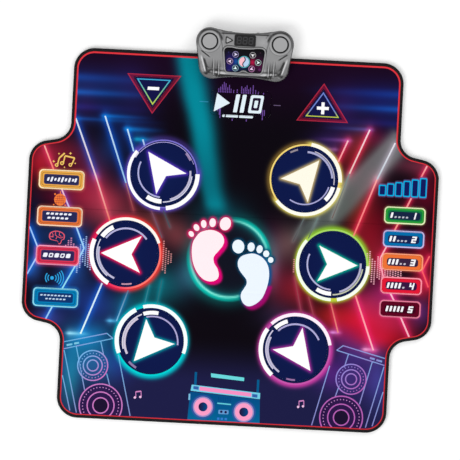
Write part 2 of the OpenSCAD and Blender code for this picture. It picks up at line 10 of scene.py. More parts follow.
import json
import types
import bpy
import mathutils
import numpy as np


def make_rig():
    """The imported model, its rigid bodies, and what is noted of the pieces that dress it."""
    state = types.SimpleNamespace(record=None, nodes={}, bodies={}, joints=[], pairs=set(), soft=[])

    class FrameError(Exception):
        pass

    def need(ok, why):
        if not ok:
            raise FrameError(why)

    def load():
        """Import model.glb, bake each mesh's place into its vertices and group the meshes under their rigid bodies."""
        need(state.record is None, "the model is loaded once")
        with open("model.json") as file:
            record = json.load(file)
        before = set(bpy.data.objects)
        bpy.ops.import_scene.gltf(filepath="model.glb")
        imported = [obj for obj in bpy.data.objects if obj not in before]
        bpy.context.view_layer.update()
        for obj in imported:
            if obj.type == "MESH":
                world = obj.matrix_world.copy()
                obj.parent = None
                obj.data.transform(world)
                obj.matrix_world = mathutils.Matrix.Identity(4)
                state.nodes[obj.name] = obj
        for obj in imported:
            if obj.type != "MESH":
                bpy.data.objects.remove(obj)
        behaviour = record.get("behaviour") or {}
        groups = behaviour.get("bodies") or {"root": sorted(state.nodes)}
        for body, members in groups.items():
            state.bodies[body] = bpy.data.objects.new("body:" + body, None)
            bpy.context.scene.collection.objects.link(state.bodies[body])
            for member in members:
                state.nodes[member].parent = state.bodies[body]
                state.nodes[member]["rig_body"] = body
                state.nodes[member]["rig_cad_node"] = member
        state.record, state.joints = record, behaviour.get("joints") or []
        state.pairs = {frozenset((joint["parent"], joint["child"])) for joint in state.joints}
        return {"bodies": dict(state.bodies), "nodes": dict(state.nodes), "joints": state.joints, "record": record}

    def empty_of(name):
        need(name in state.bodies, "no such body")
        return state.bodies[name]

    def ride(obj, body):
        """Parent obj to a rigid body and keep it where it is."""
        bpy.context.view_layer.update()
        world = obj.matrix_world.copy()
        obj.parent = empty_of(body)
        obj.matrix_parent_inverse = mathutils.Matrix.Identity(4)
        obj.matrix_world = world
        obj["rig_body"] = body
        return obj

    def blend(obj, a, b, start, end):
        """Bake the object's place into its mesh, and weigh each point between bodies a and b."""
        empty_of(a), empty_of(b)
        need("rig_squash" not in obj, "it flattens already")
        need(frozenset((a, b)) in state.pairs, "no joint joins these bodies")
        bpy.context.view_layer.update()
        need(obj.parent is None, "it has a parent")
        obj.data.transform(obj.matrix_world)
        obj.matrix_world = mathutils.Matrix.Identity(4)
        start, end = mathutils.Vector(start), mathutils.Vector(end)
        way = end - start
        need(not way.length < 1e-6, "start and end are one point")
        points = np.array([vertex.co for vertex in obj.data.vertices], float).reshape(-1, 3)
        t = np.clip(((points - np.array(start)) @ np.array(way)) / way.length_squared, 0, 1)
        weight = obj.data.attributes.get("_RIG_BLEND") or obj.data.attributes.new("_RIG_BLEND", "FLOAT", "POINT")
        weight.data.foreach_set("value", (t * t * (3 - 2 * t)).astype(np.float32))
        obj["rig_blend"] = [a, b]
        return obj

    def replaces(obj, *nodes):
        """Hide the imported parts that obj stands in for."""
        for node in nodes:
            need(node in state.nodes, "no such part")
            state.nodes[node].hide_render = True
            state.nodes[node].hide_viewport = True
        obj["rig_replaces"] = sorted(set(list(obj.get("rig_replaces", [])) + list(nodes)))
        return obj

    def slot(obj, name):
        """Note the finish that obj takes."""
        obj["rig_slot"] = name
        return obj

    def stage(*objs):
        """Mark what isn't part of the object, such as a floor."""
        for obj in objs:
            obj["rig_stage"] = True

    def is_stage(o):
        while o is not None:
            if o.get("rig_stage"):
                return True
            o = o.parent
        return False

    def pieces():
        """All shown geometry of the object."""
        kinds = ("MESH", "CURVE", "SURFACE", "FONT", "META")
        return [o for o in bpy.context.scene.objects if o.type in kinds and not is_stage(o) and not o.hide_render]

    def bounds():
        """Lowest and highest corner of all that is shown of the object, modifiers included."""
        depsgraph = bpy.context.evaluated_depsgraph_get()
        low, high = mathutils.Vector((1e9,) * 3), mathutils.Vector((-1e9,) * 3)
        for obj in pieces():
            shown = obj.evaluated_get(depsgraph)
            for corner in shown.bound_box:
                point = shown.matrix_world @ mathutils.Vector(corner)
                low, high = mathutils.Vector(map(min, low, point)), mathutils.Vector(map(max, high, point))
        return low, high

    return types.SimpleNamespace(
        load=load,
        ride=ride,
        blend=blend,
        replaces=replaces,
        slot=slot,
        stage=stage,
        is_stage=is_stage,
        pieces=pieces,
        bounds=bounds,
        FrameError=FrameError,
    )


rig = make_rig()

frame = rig.load()
import json
import math
from types import SimpleNamespace

import bmesh
import bpy
import numpy as np
from mathutils import Vector, geometry

cad_lo, cad_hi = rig.bounds()
scene = bpy.context.scene

# ---------------------------------------------------------------- sizes and places
FOLD_BACK, FOLD_FRONT, SEAM = 57.5, -117.2, 55.0
MAT_TOP = 8.0
# the mat's outline is made of arcs: centre in the back right quarter, radius
CORNER, CORNER_R = (327, 372.5), 47
NECK, NECK_R = (414, 247.85), 40
WING, WING_R = (420, 160), 45
HALF_WIDTH = WING[0] + WING_R
HALF_DEPTH = CORNER[1] + CORNER_R

PADS = {
    "step_pad_back_left": (-160.5, 145), "step_pad_back_right": (161.5, 147),
    "step_pad_left": (-235, -42), "step_pad_right": (234.5, -42.5),
    "step_pad_front_left": (-165, -239.5), "step_pad_front_right": (160, -239.5)}
PAD_R, PAD_HOLE_R = 71.8, 72.0
MODES = {"mode_amber": (-388, 118), "mode_orange": (-388, 35),
         "mode_pink": (-388, -55), "mode_blue": (-388, -149)}
LEVELS = {"level_green": (392, 77), "level_blue": (392, 24), "level_orange": (392, -29),
          "level_red": (392, -83), "level_maroon": (392, -135.5)}
START = (8, 311)
MODE_SIZE, LEVEL_SIZE, START_SIZE = (97, 39), (87, 33), (137, 57)
MINUS = [(-240, 359.5), (-193, 291), (-146, 359.5)]
PLUS = [(147, 287), (240, 287), (193.5, 354.5)]
TRIANGLE_SPOTS, TRIANGLE_SIZE = ((-193, 335), (193.5, 308)), (94, 72)
PRINT_FRONT = -411      # the artwork stops here, short of the front edge

# the two halves of the cloth: fold line, whether the half lies behind the seam, how it bends,
# and the names of the panels it covers
HALVES = {
    "back": SimpleNamespace(
        fold=FOLD_BACK, behind=True, panels=("back_panel", "middle_panel"),
        line=dict(start=(0, 0.0599, 0), end=(0, 0.0551, 0)), parts=("back",)),
    "front": SimpleNamespace(
        fold=FOLD_FRONT, behind=False, panels=("middle_panel", "front_panel"),
        line=dict(start=(0, -0.1154, 0), end=(0, -0.1190, 0)), parts=("middle", "front"))}

# control box
BOX_X = 10.0
BOX_FRONT, BOX_BACK = 371.0, 470.5
BOX_EAR, BOX_EAR_R = (79.5, 448.5), 31.5            # back corners, measured from BOX_X
BOX_LOW, BOX_LOW_R = (72.0, 394.0), 30.0            # front corners
BUTTON_OFF, BUTTON_Y = 80, 448.0
BUTTONS = {"left_button": (BOX_X - BUTTON_OFF, BUTTON_Y),
           "right_button": (BOX_X + BUTTON_OFF, BUTTON_Y)}
WELL_R = 18.9
SHELL_WALL, SHELL_BOTTOM, SHELL_CEILING, SHELL_PITCH = 2.2, 8.62, 27.2, 0.85
WINDOW_Y = 453.2
PLAY = [(BOX_X - 43, 444.4), (BOX_X - 43, 460.6), (BOX_X - 27, 452.5)]
CLAMP_HOLES = [(10 - 62, 392), (10 + 62, 392)]
CLAMP_HOLE_R = 3.4


# ---------------------------------------------------------------- numbers and colours
def linear(colour):
    """sRGB 0..255 to linear 0..1."""
    c = np.clip(np.asarray(colour, float) / 255.0, 0, 1)
    return np.where(c <= 0.04045, c / 12.92, ((c + 0.055) / 1.055) ** 2.4)


def rgba(colour):
    return (*linear(colour), 1)


def ramp(start, end, value):
    """Smooth step from 0 at start to 1 at end; start may be the larger."""
    share = np.clip((value - start) / (end - start), 0, 1)
    return share * share * (3 - 2 * share)


def bell(value, width, power=2):
    return np.exp(-(value / width) ** power)


def spot(x, y, cx, cy, width_x, width_y):
    """A bell in two directions."""
    return np.exp(-((x - cx) / width_x) ** 2 - ((y - cy) / width_y) ** 2)


def fade(dist, width):
    return np.exp(-dist / width)


def turn_from(angle, reference):
    """Signed turn in degrees from reference to angle, -180..180."""
    return (angle - reference + 180) % 360 - 180


# ---------------------------------------------------------------- outlines
def on_circle(cx, cy, radius, degrees):
    angle = math.radians(degrees)
    return cx + radius * math.cos(angle), cy + radius * math.sin(angle)


def arc(cx, cy, radius, start, end, step=3.0):
    count = max(2, int(abs(end - start) / 180 * math.pi * radius / step + 1))
    return [on_circle(cx, cy, radius, start + (end - start) * i / count)
            for i in range(count + 1)]


def inset_arc(centre, radius, sign, inset_start, inset_end, start, end):
    """Arc moved in by an amount that runs from inset_start to inset_end; sign is -1 on hollows."""
    out = []
    for i in range(17):
        share = i / 16
        moved = radius - sign * (inset_start + (inset_end - inset_start) * share)
        out.append(on_circle(*centre, moved, start + (end - start) * share))
    return out


def mat_outline(back, side=None, wing=None):
    """Mat outline moved in, anticlockwise from the front right corner. Separate insets for the
    back, the sides behind the wings, and the wings and front."""
    side = back if side is None else side
    wing = back if wing is None else wing
    right = (inset_arc((CORNER[0], -CORNER[1]), CORNER_R, 1, wing, wing, -90, 0)
             + inset_arc((NECK[0], -NECK[1]), NECK_R, -1, wing, wing, 180, 101)
             + inset_arc((WING[0], -WING[1]), WING_R, 1, wing, wing, -79, 0)
             + inset_arc(WING, WING_R, 1, wing, wing, 0, 79)
             + inset_arc(NECK, NECK_R, -1, wing, side, 259, 180)
             + inset_arc(CORNER, CORNER_R, 1, side, back, 0, 90))
    return right + [(-x, y) for x, y in reversed(right)]


def rounded_rect(cx, cy, width, height, radius, slant=0.0):
    out = []
    for sx, sy, angle in ((1, 1, 0), (-1, 1, 90), (-1, -1, 180), (1, -1, 270)):
        out += arc(cx + sx * (width / 2 - radius), cy + sy * (height / 2 - radius), radius,
                   angle, angle + 90, 1.6)
    return [(x + slant * (y - cy), y) for x, y in out]


def round_triangle(corners, radius):
    out = []
    points = [Vector(p) for p in corners]
    for i in range(3):
        corner = points[i]
        to_last = (points[i - 1] - corner).normalized()
        to_next = (points[(i + 1) % 3] - corner).normalized()
        half = math.acos(max(-1, min(1, to_last.dot(to_next)))) / 2
        centre = corner + (to_last + to_next).normalized() * (radius / math.sin(half))
        first = corner + to_last * (radius / math.tan(half)) - centre
        last = corner + to_next * (radius / math.tan(half)) - centre
        start = math.degrees(math.atan2(first.y, first.x))
        turn = turn_from(math.degrees(math.atan2(last.y, last.x)), start)
        for k in range(6):
            angle = math.radians(start + turn * k / 5)
            out.append(tuple(centre + Vector((math.cos(angle), math.sin(angle))) * radius))
    return out


def grow(points, factor):
    """Scales a loop about the mean of its points."""
    cx = sum(p[0] for p in points) / len(points)
    cy = sum(p[1] for p in points) / len(points)
    return [(cx + (x - cx) * factor, cy + (y - cy) * factor) for x, y in points]


def smooth_loop(points, per_side):
    """Closed Catmull-Rom curve through the points."""
    knots = np.array(points, float)
    out = []
    count = len(knots)
    for i in range(count):
        p0, p1 = knots[i - 1], knots[i]
        p2, p3 = knots[(i + 1) % count], knots[(i + 2) % count]
        for k in range(per_side):
            t = k / per_side
            out.append(tuple(0.5 * ((2 * p1) + (-p0 + p2) * t
                                    + (2 * p0 - 5 * p1 + 4 * p2 - p3) * t * t
                                    + (-p0 + 3 * p1 - 3 * p2 + p3) * t ** 3)))
    return out


def dot(cx, cy, radius, sides=8):
    return [(cx + radius * math.cos(2 * math.pi * k / sides),
             cy + radius * math.sin(2 * math.pi * k / sides)) for k in range(sides)]


def circle(cx, cy, radius):
    return dot(cx, cy, radius, max(8, int(2 * math.pi * radius / 2.6)))


def ring_loops(cx, cy, radius, width):
    return [circle(cx, cy, radius + width / 2), circle(cx, cy, radius - width / 2)]


def ellipse(cx, cy, half_x, half_y, turn=0):
    count = max(10, int((half_x + half_y) * 1.2))
    cos_t, sin_t = math.cos(math.radians(turn)), math.sin(math.radians(turn))
    out = []
    for k in range(count):
        angle = k * 2 * math.pi / count
        along, across = half_x * math.cos(angle), half_y * math.sin(angle)
        out.append((cx + along * cos_t - across * sin_t, cy + along * sin_t + across * cos_t))
    return out


def band(centre, inner, outer, start, end):
    return arc(*centre, outer, start, end, 2.6) + arc(*centre, inner, end, start, 2.6)


def bar(start, end, width):
    dx, dy = end[0] - start[0], end[1] - start[1]
    length = math.hypot(dx, dy)
    nx, ny = -dy / length / 2, dx / length / 2
    return [(start[0] - nx * width, start[1] - ny * width),
            (end[0] - nx * width, end[1] - ny * width),
            (end[0] + nx * width, end[1] + ny * width),
            (start[0] + nx * width, start[1] + ny * width)]


def subdivide(loop, step):
    out = []
    for i, start in enumerate(loop):
        end = loop[(i + 1) % len(loop)]
        dx, dy = end[0] - start[0], end[1] - start[1]
        count = max(1, int(math.hypot(dx, dy) / step + 0.999))
        out += [(start[0] + dx * j / count, start[1] + dy * j / count) for j in range(count)]
    return out


def clip_y(loop, level, behind):
    """The part of the loop behind (or in front of) a line across x."""
    out = []
    sign = 1 if behind else -1
    for i, start in enumerate(loop):
        end = loop[(i + 1) % len(loop)]
        start_in, end_in = (start[1] - level) * sign >= 0, (end[1] - level) * sign >= 0
        if start_in:
            out.append(start)
        if start_in != end_in:
            share = (level - start[1]) / (end[1] - start[1])
            out.append((start[0] + (end[0] - start[0]) * share, level))
    return out


def refine(loop, fold):
    """Adds points every 0.4 mm where the loop's sides cross the fold."""
    out = []
    for i, start in enumerate(loop):
        end = loop[(i + 1) % len(loop)]
        low, high = min(start[1], end[1]), max(start[1], end[1])
        out.append(start)
        if low < fold + 2.6 and high > fold - 2.6 and abs(start[1] - end[1]) > 0.5:
            levels = [fold + 0.4 * k for k in range(-6, 7)
                      if low + 0.05 < fold + 0.4 * k < high - 0.05]
            if end[1] < start[1]:
                levels = levels[::-1]
            out += [(start[0] + (end[0] - start[0]) * (y - start[1]) / (end[1] - start[1]), y)
                    for y in levels]
    return out


def path_normals(points, closed=False):
    """Unit normals, pointing inward on an anticlockwise path."""
    if closed:
        along = np.roll(points, -1, 0) - np.roll(points, 1, 0)
    else:
        along = np.gradient(points, axis=0)
    along /= np.linalg.norm(along, axis=1)[:, None]
    return np.column_stack([-along[:, 1], along[:, 0]])


def inset(loop, dist):
    points = np.array(loop, float)
    x, y = points[:, 0], points[:, 1]
    area = 0.5 * np.sum(x * np.roll(y, -1) - np.roll(x, -1) * y)
    normals = path_normals(points, True) * (1 if area > 0 else -1)
    return [tuple(p) for p in points + normals * dist]


# ---------------------------------------------------------------- measuring points
def seg_dist(x, y, start, end):
    """Distance from a segment, and the share of the way along it."""
    dx, dy = end[0] - start[0], end[1] - start[1]
    square = dx * dx + dy * dy
    share = np.clip(((x - start[0]) * dx + (y - start[1]) * dy) / max(square, 1e-9), 0, 1)
    return np.hypot(x - start[0] - share * dx, y - start[1] - share * dy), share


def loop_dist(x, y, loop):
    dist = np.full(x.shape, 1e9)
    for i in range(len(loop)):
        dist = np.minimum(dist, seg_dist(x, y, loop[i], loop[(i + 1) % len(loop)])[0])
    return dist


def rect_dist(x, y, cx, cy, half_x, half_y):
    return np.hypot(np.maximum(np.abs(x - cx) - half_x, 0),
                    np.maximum(np.abs(y - cy) - half_y, 0))


def inside(x, y, loops):
    """Even-odd test against all the loops together."""
    result = np.zeros(x.shape, bool)
    for loop in loops:
        for i in range(len(loop)):
            xa, ya = loop[i]
            xb, yb = loop[(i + 1) % len(loop)]
            if ya == yb:
                continue
            result ^= ((ya > y) != (yb > y)) & (x < (xb - xa) * (y - ya) / (yb - ya) + xa)
    return result


# ---------------------------------------------------------------- artwork tables
WHITE = (255, 255, 255)
NAVY = (12, 24, 72)
# Ring round each step pad, in painting order. arcs_at is the centre of the arcs marked "a";
# those marked "c" share the pad's centre. line is the ring line's radius and width. soft is the
# glow's strength away from the wide arcs, glow_arc its colour beside them. far holds the
# colours the ring runs to, and their share by angle.
# arcs: centre, inner and outer radius, start and end angle, colour
RING_TABLE = {
    "step_pad_back_left": dict(
        arcs_at=(-159.5, 142.5), base=(122, 112, 205), glow=(95, 72, 185), soft=0.5,
        line=(76.4, 3.0), arrow_glow=(80, 45, 175),
        arrow=[(-196, 191), (-107, 146), (-153, 138), (-173, 96)],
        arcs=[("a", 75.5, 82.3, 141.6, 267.5, WHITE), ("a", 72.5, 76.5, 141.6, 152, (235, 230, 250)),
              ("a", 73, 82.5, -82.8, 2.5, WHITE), ("c", 60, 70, 239, 270, WHITE),
              ("c", 54, 57.6, 156, 266, (172, 172, 218)), ("c", 60.3, 64.5, -72, 7, (190, 185, 210)),
              ("c", 65, 67.5, -87, -4, (212, 212, 232)), ("c", 66, 71, 27, 43, (150, 130, 170)),
              ("a", 71.4, 72.6, 20, 140, (190, 180, 240))]),
    "step_pad_back_right": dict(
        base=(245, 216, 120), glow=(225, 180, 70), glow_arc=(246, 230, 108), soft=0.5,
        line=(78.0, 3.6), arrow_glow=(190, 165, 110), head=(255, 250, 232),
        arrow=[(192, 191.5), (107.5, 146), (151, 135.5), (171, 95.5)],
        arcs=[("a", 75.8, 84.3, -2, 82, (255, 252, 235)), ("a", 75.6, 83.4, -140, -11, (255, 253, 238)),
              ("c", 61.5, 71, -42.5, -12.5, WHITE), ("c", 55.5, 58.5, -123.5, -15, (168, 168, 215)),
              ("c", 60, 64.5, 5, 87, (172, 172, 210)), ("c", 65.5, 68, -8, 73, (192, 187, 202)),
              ("c", 67, 71, 106, 121, (150, 140, 150))]),
    "step_pad_right": dict(
        base=(168, 218, 98), glow=(140, 196, 45), glow_arc=(196, 230, 62),
        far=dict(base=(200, 205, 60), share=lambda angle: bell(np.abs(angle + 85), 16)),
        arrow_glow=(0, 165, 140), arrow=[(291, -42), (202, -1), (222, -42.5), (202, -82)],
        arcs=[("a", 76.2, 83.4, 140, 270, (245, 255, 235)), ("a", 76.2, 84.0, -80, 0, (248, 255, 240)),
              ("c", 62, 71, 240, 270, WHITE), ("c", 55.5, 59, 158, 268, (180, 180, 220)),
              ("c", 61.5, 66, -73, 5, (180, 178, 205)), ("c", 67, 70, -87, -6, (195, 200, 175))]),
    "step_pad_left": dict(
        base=(255, 118, 108), glow=(240, 55, 50),
        far=dict(base=(235, 40, 90), glow=(235, 22, 80),
                 share=lambda angle: ramp(60, 130, np.abs(angle))),
        arrow_glow=(228, 20, 85), arrow=[(-291, -43.5), (-201, -1), (-222, -43), (-201, -84)],
        arcs=[("a", 75.5, 82, 20, 148.5, (255, 248, 240)), ("a", 73, 82.5, 158, 242, WHITE),
              ("c", 61, 71, 118, 147, WHITE), ("c", 55, 59, 37, 145, (180, 178, 218)),
              ("c", 64.5, 67, 153, 233, (205, 205, 225)), ("c", 59.5, 64, 168, 248, (185, 182, 212)),
              ("c", 68, 71, 265, 284, (200, 150, 170))]),
    "step_pad_front_left": dict(
        arcs_at=(-167.5, -236.5), base=(0, 205, 208), glow=(0, 190, 200),
        arrow_glow=(0, 145, 155), arrow=[(-181, -188), (-160, -229), (-114, -241), (-204, -285)],
        arcs=[("a", 74.5, 82.5, -18.5, 106, (245, 255, 255)), ("a", 73, 82.5, 119, 203.5, (245, 255, 255)),
              ("c", 62.5, 71, 80.5, 110, WHITE), ("c", 56.5, 60, -4, 105.6, (172, 165, 210)),
              ("c", 65.5, 68.5, 113, 196, (215, 210, 225)), ("c", 60, 65, 124, 208, (205, 195, 215)),
              ("c", 66, 71, 223, 241, (140, 120, 165))]),
    "step_pad_front_right": dict(
        base=(195, 85, 168), glow=(200, 60, 160),
        arrow_glow=(158, 40, 145), arrow=[(174, -189), (155, -232), (109, -242), (197, -286)],
        arcs=[("a", 75.5, 83, 10, 135.5, (255, 240, 252)), ("a", 73.5, 83, 146, 230, WHITE),
              ("c", 62, 71, 108, 136, WHITE), ("c", 55.5, 59.5, 24.8, 135, (175, 170, 215)),
              ("c", 65, 68, 142, 224, (205, 200, 225)), ("c", 60, 64.5, 155.5, 237, (190, 185, 212)),
              ("c", 67, 71, 256, 272.5, (150, 110, 160))])}
RING_DEFAULTS = dict(line=(78.4, 4.0), soft=1.0, head=WHITE, glow_arc=None, far={})
RINGS = {name: SimpleNamespace(**{**RING_DEFAULTS, "centre": PADS[name],
                                  "arcs_at": PADS[name], **own})
         for name, own in RING_TABLE.items()}

# thin light lines: points, width, core colours at both ends, glow colour, glow width
BLUE, RED = (0, 60, 175), (235, 25, 60)
LINES = [
    ([(-432, 193), (-408, 139)], 3.2, (255, 185, 175), (255, 130, 110), (190, 30, 60), 9),
    ([(-388, 97), (-368, 54)], 3.2, (255, 200, 200), (205, 200, 255), (90, 50, 150), 8),
    ([(-352, 17), (-330, -35), (-350, -80), (-376, -131)], 3.4,
     (170, 215, 255), (150, 230, 240), BLUE, 10),
    ([(-394, -168), (-409, -200)], 3.4, (170, 225, 245), (150, 200, 250), BLUE, 9),
    ([(-456, 8), (-432, -45)], 3.2, (150, 200, 255), (190, 220, 255), BLUE, 9),
    ([(-432, -52), (-456, -100)], 3.2, (190, 220, 255), (150, 200, 255), BLUE, 9),
    ([(-364, 258), (-312, 130)], 3.6, (225, 245, 255), (240, 200, 205), BLUE, 11),
    ([(-312, 130), (-274, 28)], 3.4, (240, 200, 205), (235, 120, 100), (190, 40, 50), 8),
    ([(-298, 267), (-243, 118)], 3.4, (220, 240, 255), (150, 200, 235), BLUE, 11),
    ([(-243, 118), (-222, 55)], 2.6, (170, 120, 120), (140, 60, 60), (110, 30, 40), 6),
    ([(-246, 240), (-229, 190)], 3.4, (205, 235, 255), (170, 215, 245), BLUE, 9),
    ([(-210, 218), (-204, 201)], 3.4, (190, 220, 245), (170, 190, 235), BLUE, 8),
    ([(-182, 58), (-155, -2)], 2.4, (120, 70, 90), (90, 90, 100), (60, 40, 60), 5),
    ([(-155, 60), (-138, 22)], 2.4, (70, 75, 90), (60, 80, 85), (30, 50, 60), 5),
    ([(-285, -112), (-328, -229)], 3.6, (215, 240, 255), (235, 255, 245), BLUE, 11),
    ([(-225, -125), (-248, -196)], 2.8, (90, 120, 150), (130, 190, 225), (10, 80, 130), 7),
    ([(-178, -110), (-186, -152)], 2.4, (60, 120, 130), (50, 130, 150), (0, 80, 90), 6),
    ([(-150, -98), (-158, -152)], 2.4, (50, 100, 110), (40, 110, 120), (0, 70, 80), 6),
    ([(437, 192), (425, 166)], 3.4, (255, 190, 190), (255, 130, 130), RED, 8),
    ([(405, 117), (394, 92)], 3.4, (255, 170, 170), (255, 150, 150), RED, 8),
    ([(380, 62), (370, 40)], 3.4, (255, 170, 150), (255, 150, 140), RED, 8),
    ([(357, 10), (342, -22), (343, -40), (351, -64)], 3.2, (255, 200, 200), (255, 160, 180), RED, 9),
    ([(366, -96), (380, -121)], 3.4, (255, 215, 225), (255, 190, 205), (220, 20, 80), 9),
    ([(393, -150), (417, -199)], 3.6, (255, 205, 215), (255, 190, 200), (220, 20, 70), 9),
    ([(453, -12), (438, -46), (454, -83)], 3.2, (255, 110, 110), (255, 90, 95), RED, 8),
    ([(362, 240), (325, 155)], 3.6, (240, 235, 245), (190, 205, 215), (120, 110, 130), 9),
    ([(325, 155), (277, 20)], 3.4, (255, 170, 165), (255, 120, 120), RED, 9),
    ([(303, 267), (262, 165)], 3.4, (255, 225, 235), (235, 205, 195), RED, 9),
    ([(262, 165), (228, 62)], 2.6, (120, 150, 145), (110, 90, 85), (90, 90, 85), 6),
    ([(255, 240), (235, 190)], 3.4, (255, 200, 210), (255, 150, 150), RED, 9),
    ([(196, 62), (176, 12)], 2.4, (110, 135, 130), (90, 95, 95), (60, 70, 70), 5),
    ([(165, 60), (142, 5)], 2.4, (95, 110, 110), (80, 75, 80), (50, 55, 55), 5),
    ([(290, -110), (337, -232)], 3.6, (255, 150, 150), (255, 190, 200), (225, 20, 70), 10),
    ([(235, -130), (255, -196)], 3.0, (225, 110, 100), (240, 140, 130), (150, 30, 60), 7),
    ([(150, -75), (170, -158)], 2.4, (150, 70, 70), (140, 60, 80), (110, 30, 50), 6),
    ([(184, -118), (199, -165)], 2.4, (150, 70, 70), (150, 60, 80), (110, 30, 50), 6)]

# streaks of light lying across: bright end x, fading end x, y, colour, height
STREAKS = [
    (-364, -120, 352, (0, 34, 84), 10), (362, 130, 350, (0, 30, 80), 10),
    (-364, -150, 318, (0, 52, 118), 7), (362, 170, 316, (0, 46, 108), 7),
    (-364, -150, 285, (10, 16, 60), 9), (362, 150, 283, (6, 14, 50), 9),
    (-364, -150, 258, (0, 40, 90), 4), (-298, -180, 267, (0, 65, 140), 4),
    (303, 185, 267, (20, 45, 95), 4), (-246, -150, 240, (0, 80, 150), 5),
    (255, 160, 240, (70, 40, 90), 4), (-222, -160, 218, (0, 110, 140), 4),
    (225, 170, 218, (90, 50, 90), 4), (-352, -300, -229, (120, 190, 235), 3.2),
    (-262, -238, -196, (60, 150, 215), 3.0), (320, 354, -231, (240, 120, 160), 3.0),
    (243, 268, -196, (190, 110, 200), 2.6)]

# broad soft glows: x, y, half-widths, turn in degrees, colour
GLOWS = [
    (-310, 335, 62, 30, 0, (0, 10, 30)), (-232, 325, 34, 52, 20, (10, 10, 35)),
    (-345, 290, 24, 40, 0, (15, 0, 5)), (-215, 238, 50, 26, 0, (5, 0, 15)),
    (-285, 196, 24, 40, -22, (0, 20, 45)), (-400, 180, 52, 30, 0, (90, 15, 25)),
    (-440, 150, 24, 34, 0, (130, 10, 15)), (-335, 100, 42, 48, 0, (120, 15, 30)),
    (-282, 70, 44, 34, 0, (120, 35, 45)), (-240, 30, 60, 22, 0, (70, 25, 30)),
    (-400, 78, 34, 18, 0, (45, 0, 15)), (-175, 35, 34, 26, 0, (50, 20, 10)),
    (-120, 5, 32, 30, 0, (90, 40, 40)), (-385, -8, 60, 26, 0, (10, 35, 70)),
    (-448, -5, 16, 60, 0, (0, 15, 45)), (-444, -84, 18, 26, 0, (20, 50, 100)),
    (-352, -92, 34, 34, 0, (15, 40, 80)), (-358, -150, 50, 32, 0, (5, 25, 70)),
    (-285, -165, 44, 34, 0, (15, 25, 75)), (-212, -160, 42, 26, 0, (0, 60, 65)),
    (-150, -110, 44, 36, 0, (0, 75, 80)), (-92, -85, 26, 32, 0, (30, 40, 60)),
    (-310, -236, 46, 26, 12, (10, 90, 145)), (-352, -290, 22, 56, 0, (0, 45, 75)),
    (-300, -285, 44, 40, 0, (0, 70, 95)), (-240, -288, 32, 30, 0, (5, 20, 75)),
    (-405, -200, 34, 20, 0, (35, 40, 100)), (-345, -345, 16, 50, 0, (0, 60, 50)),
    (310, 340, 60, 28, 0, (0, 5, 30)), (235, 305, 34, 40, 0, (25, 10, 40)),
    (330, 300, 34, 30, 0, (5, 0, 15)), (205, 236, 36, 22, 0, (15, 10, 40)),
    (284, 236, 22, 24, -20, (60, 20, 15)), (322, 246, 22, 18, 0, (55, 5, 20)),
    (262, 205, 20, 30, -20, (60, 10, 0)), (408, 192, 44, 18, 0, (80, 30, 40)),
    (440, 130, 24, 40, 0, (75, 0, 15)), (285, 85, 24, 46, -20, (65, 20, 0)),
    (320, 40, 34, 60, -20, (90, 0, 10)), (318, -10, 34, 40, 0, (75, 15, 15)),
    (440, -5, 20, 44, 0, (100, 5, 15)), (400, 0, 34, 30, 0, (45, 0, 10)),
    (442, -82, 22, 26, 0, (135, 15, 25)), (130, -95, 34, 42, 0, (85, 15, 25)),
    (318, -128, 44, 30, 0, (115, 20, 45)), (300, -168, 56, 30, 0, (165, 0, 5)),
    (235, -160, 40, 26, 0, (95, 15, 5)), (370, -165, 44, 30, 0, (130, 20, 45)),
    (350, -205, 54, 24, 0, (155, 0, 0)), (262, -205, 34, 26, 0, (35, 15, 60)),
    (300, -240, 40, 26, 0, (28, 32, 84)), (240, -288, 30, 28, 0, (50, 10, 65)),
    (352, -290, 22, 54, 0, (30, 34, 84)), (300, -290, 44, 40, 0, (30, 8, 52)),
    (440, -140, 22, 26, 0, (60, 25, 75)), (118, -165, 40, 26, 0, (20, 20, 35)),
    (170, -108, 30, 26, 0, (70, 5, 0)), (360, -100, 34, 26, 0, (100, 15, 60)),
    (90, 15, 22, 34, 0, (20, 0, 10)), (130, 0, 28, 34, 0, (80, 60, 55)),
    (100, -60, 14, 40, 0, (70, 45, 65))]

# glow round each mode key (colour, strength) and each level key (colour)
MODE_RIMS = (((225, 150, 60), 0.8), ((225, 110, 50), 0.8), ((220, 40, 90), 0.9),
             ((0, 110, 180), 0.9))
LEVEL_RIMS = ((200, 220, 120), (150, 140, 220), (255, 100, 70), (255, 60, 90), (190, 60, 100))

# a pair of feet inside a ring of light: soles and toes
FEET = (0, -42)
SOLE_LEFT = smooth_loop([
    (-50, 21), (-35, 20), (-20, 12), (-14, 0), (-16, -12), (-25, -25), (-33, -35), (-36, -43),
    (-33, -55), (-26, -65), (-22, -78), (-24, -88), (-33, -94), (-45, -95), (-58, -90), (-70, -78),
    (-79, -62), (-84, -45), (-86, -25), (-84, -8), (-77, 5), (-68, 15)], 3)
SOLE_RIGHT = smooth_loop([
    (50, -27), (65, -30), (78, -38), (88, -52), (92, -70), (91, -90), (86, -110), (78, -128),
    (65, -141), (50, -147), (38, -142), (31, -130), (31, -118), (37, -107), (42, -97), (41, -87),
    (33, -77), (25, -67), (20, -55), (21, -43), (30, -33)], 3)
TOES_LEFT = [ellipse(-13, 37, 12.5, 15, -12), ellipse(-42, 38, 7.3, 10), ellipse(-62, 34, 6.3, 9, 8),
             ellipse(-78, 25, 6.2, 8, 30), ellipse(-89, 10, 5.6, 7, 40)]
TOES_RIGHT = [ellipse(19, -13, 13.6, 15.5, 8), ellipse(48, -12.5, 8.2, 10.3),
              ellipse(67.5, -16.5, 7, 9.2, -8), ellipse(83, -26, 7, 7.6),
              ellipse(94, -39.5, 6.2, 6.6)]
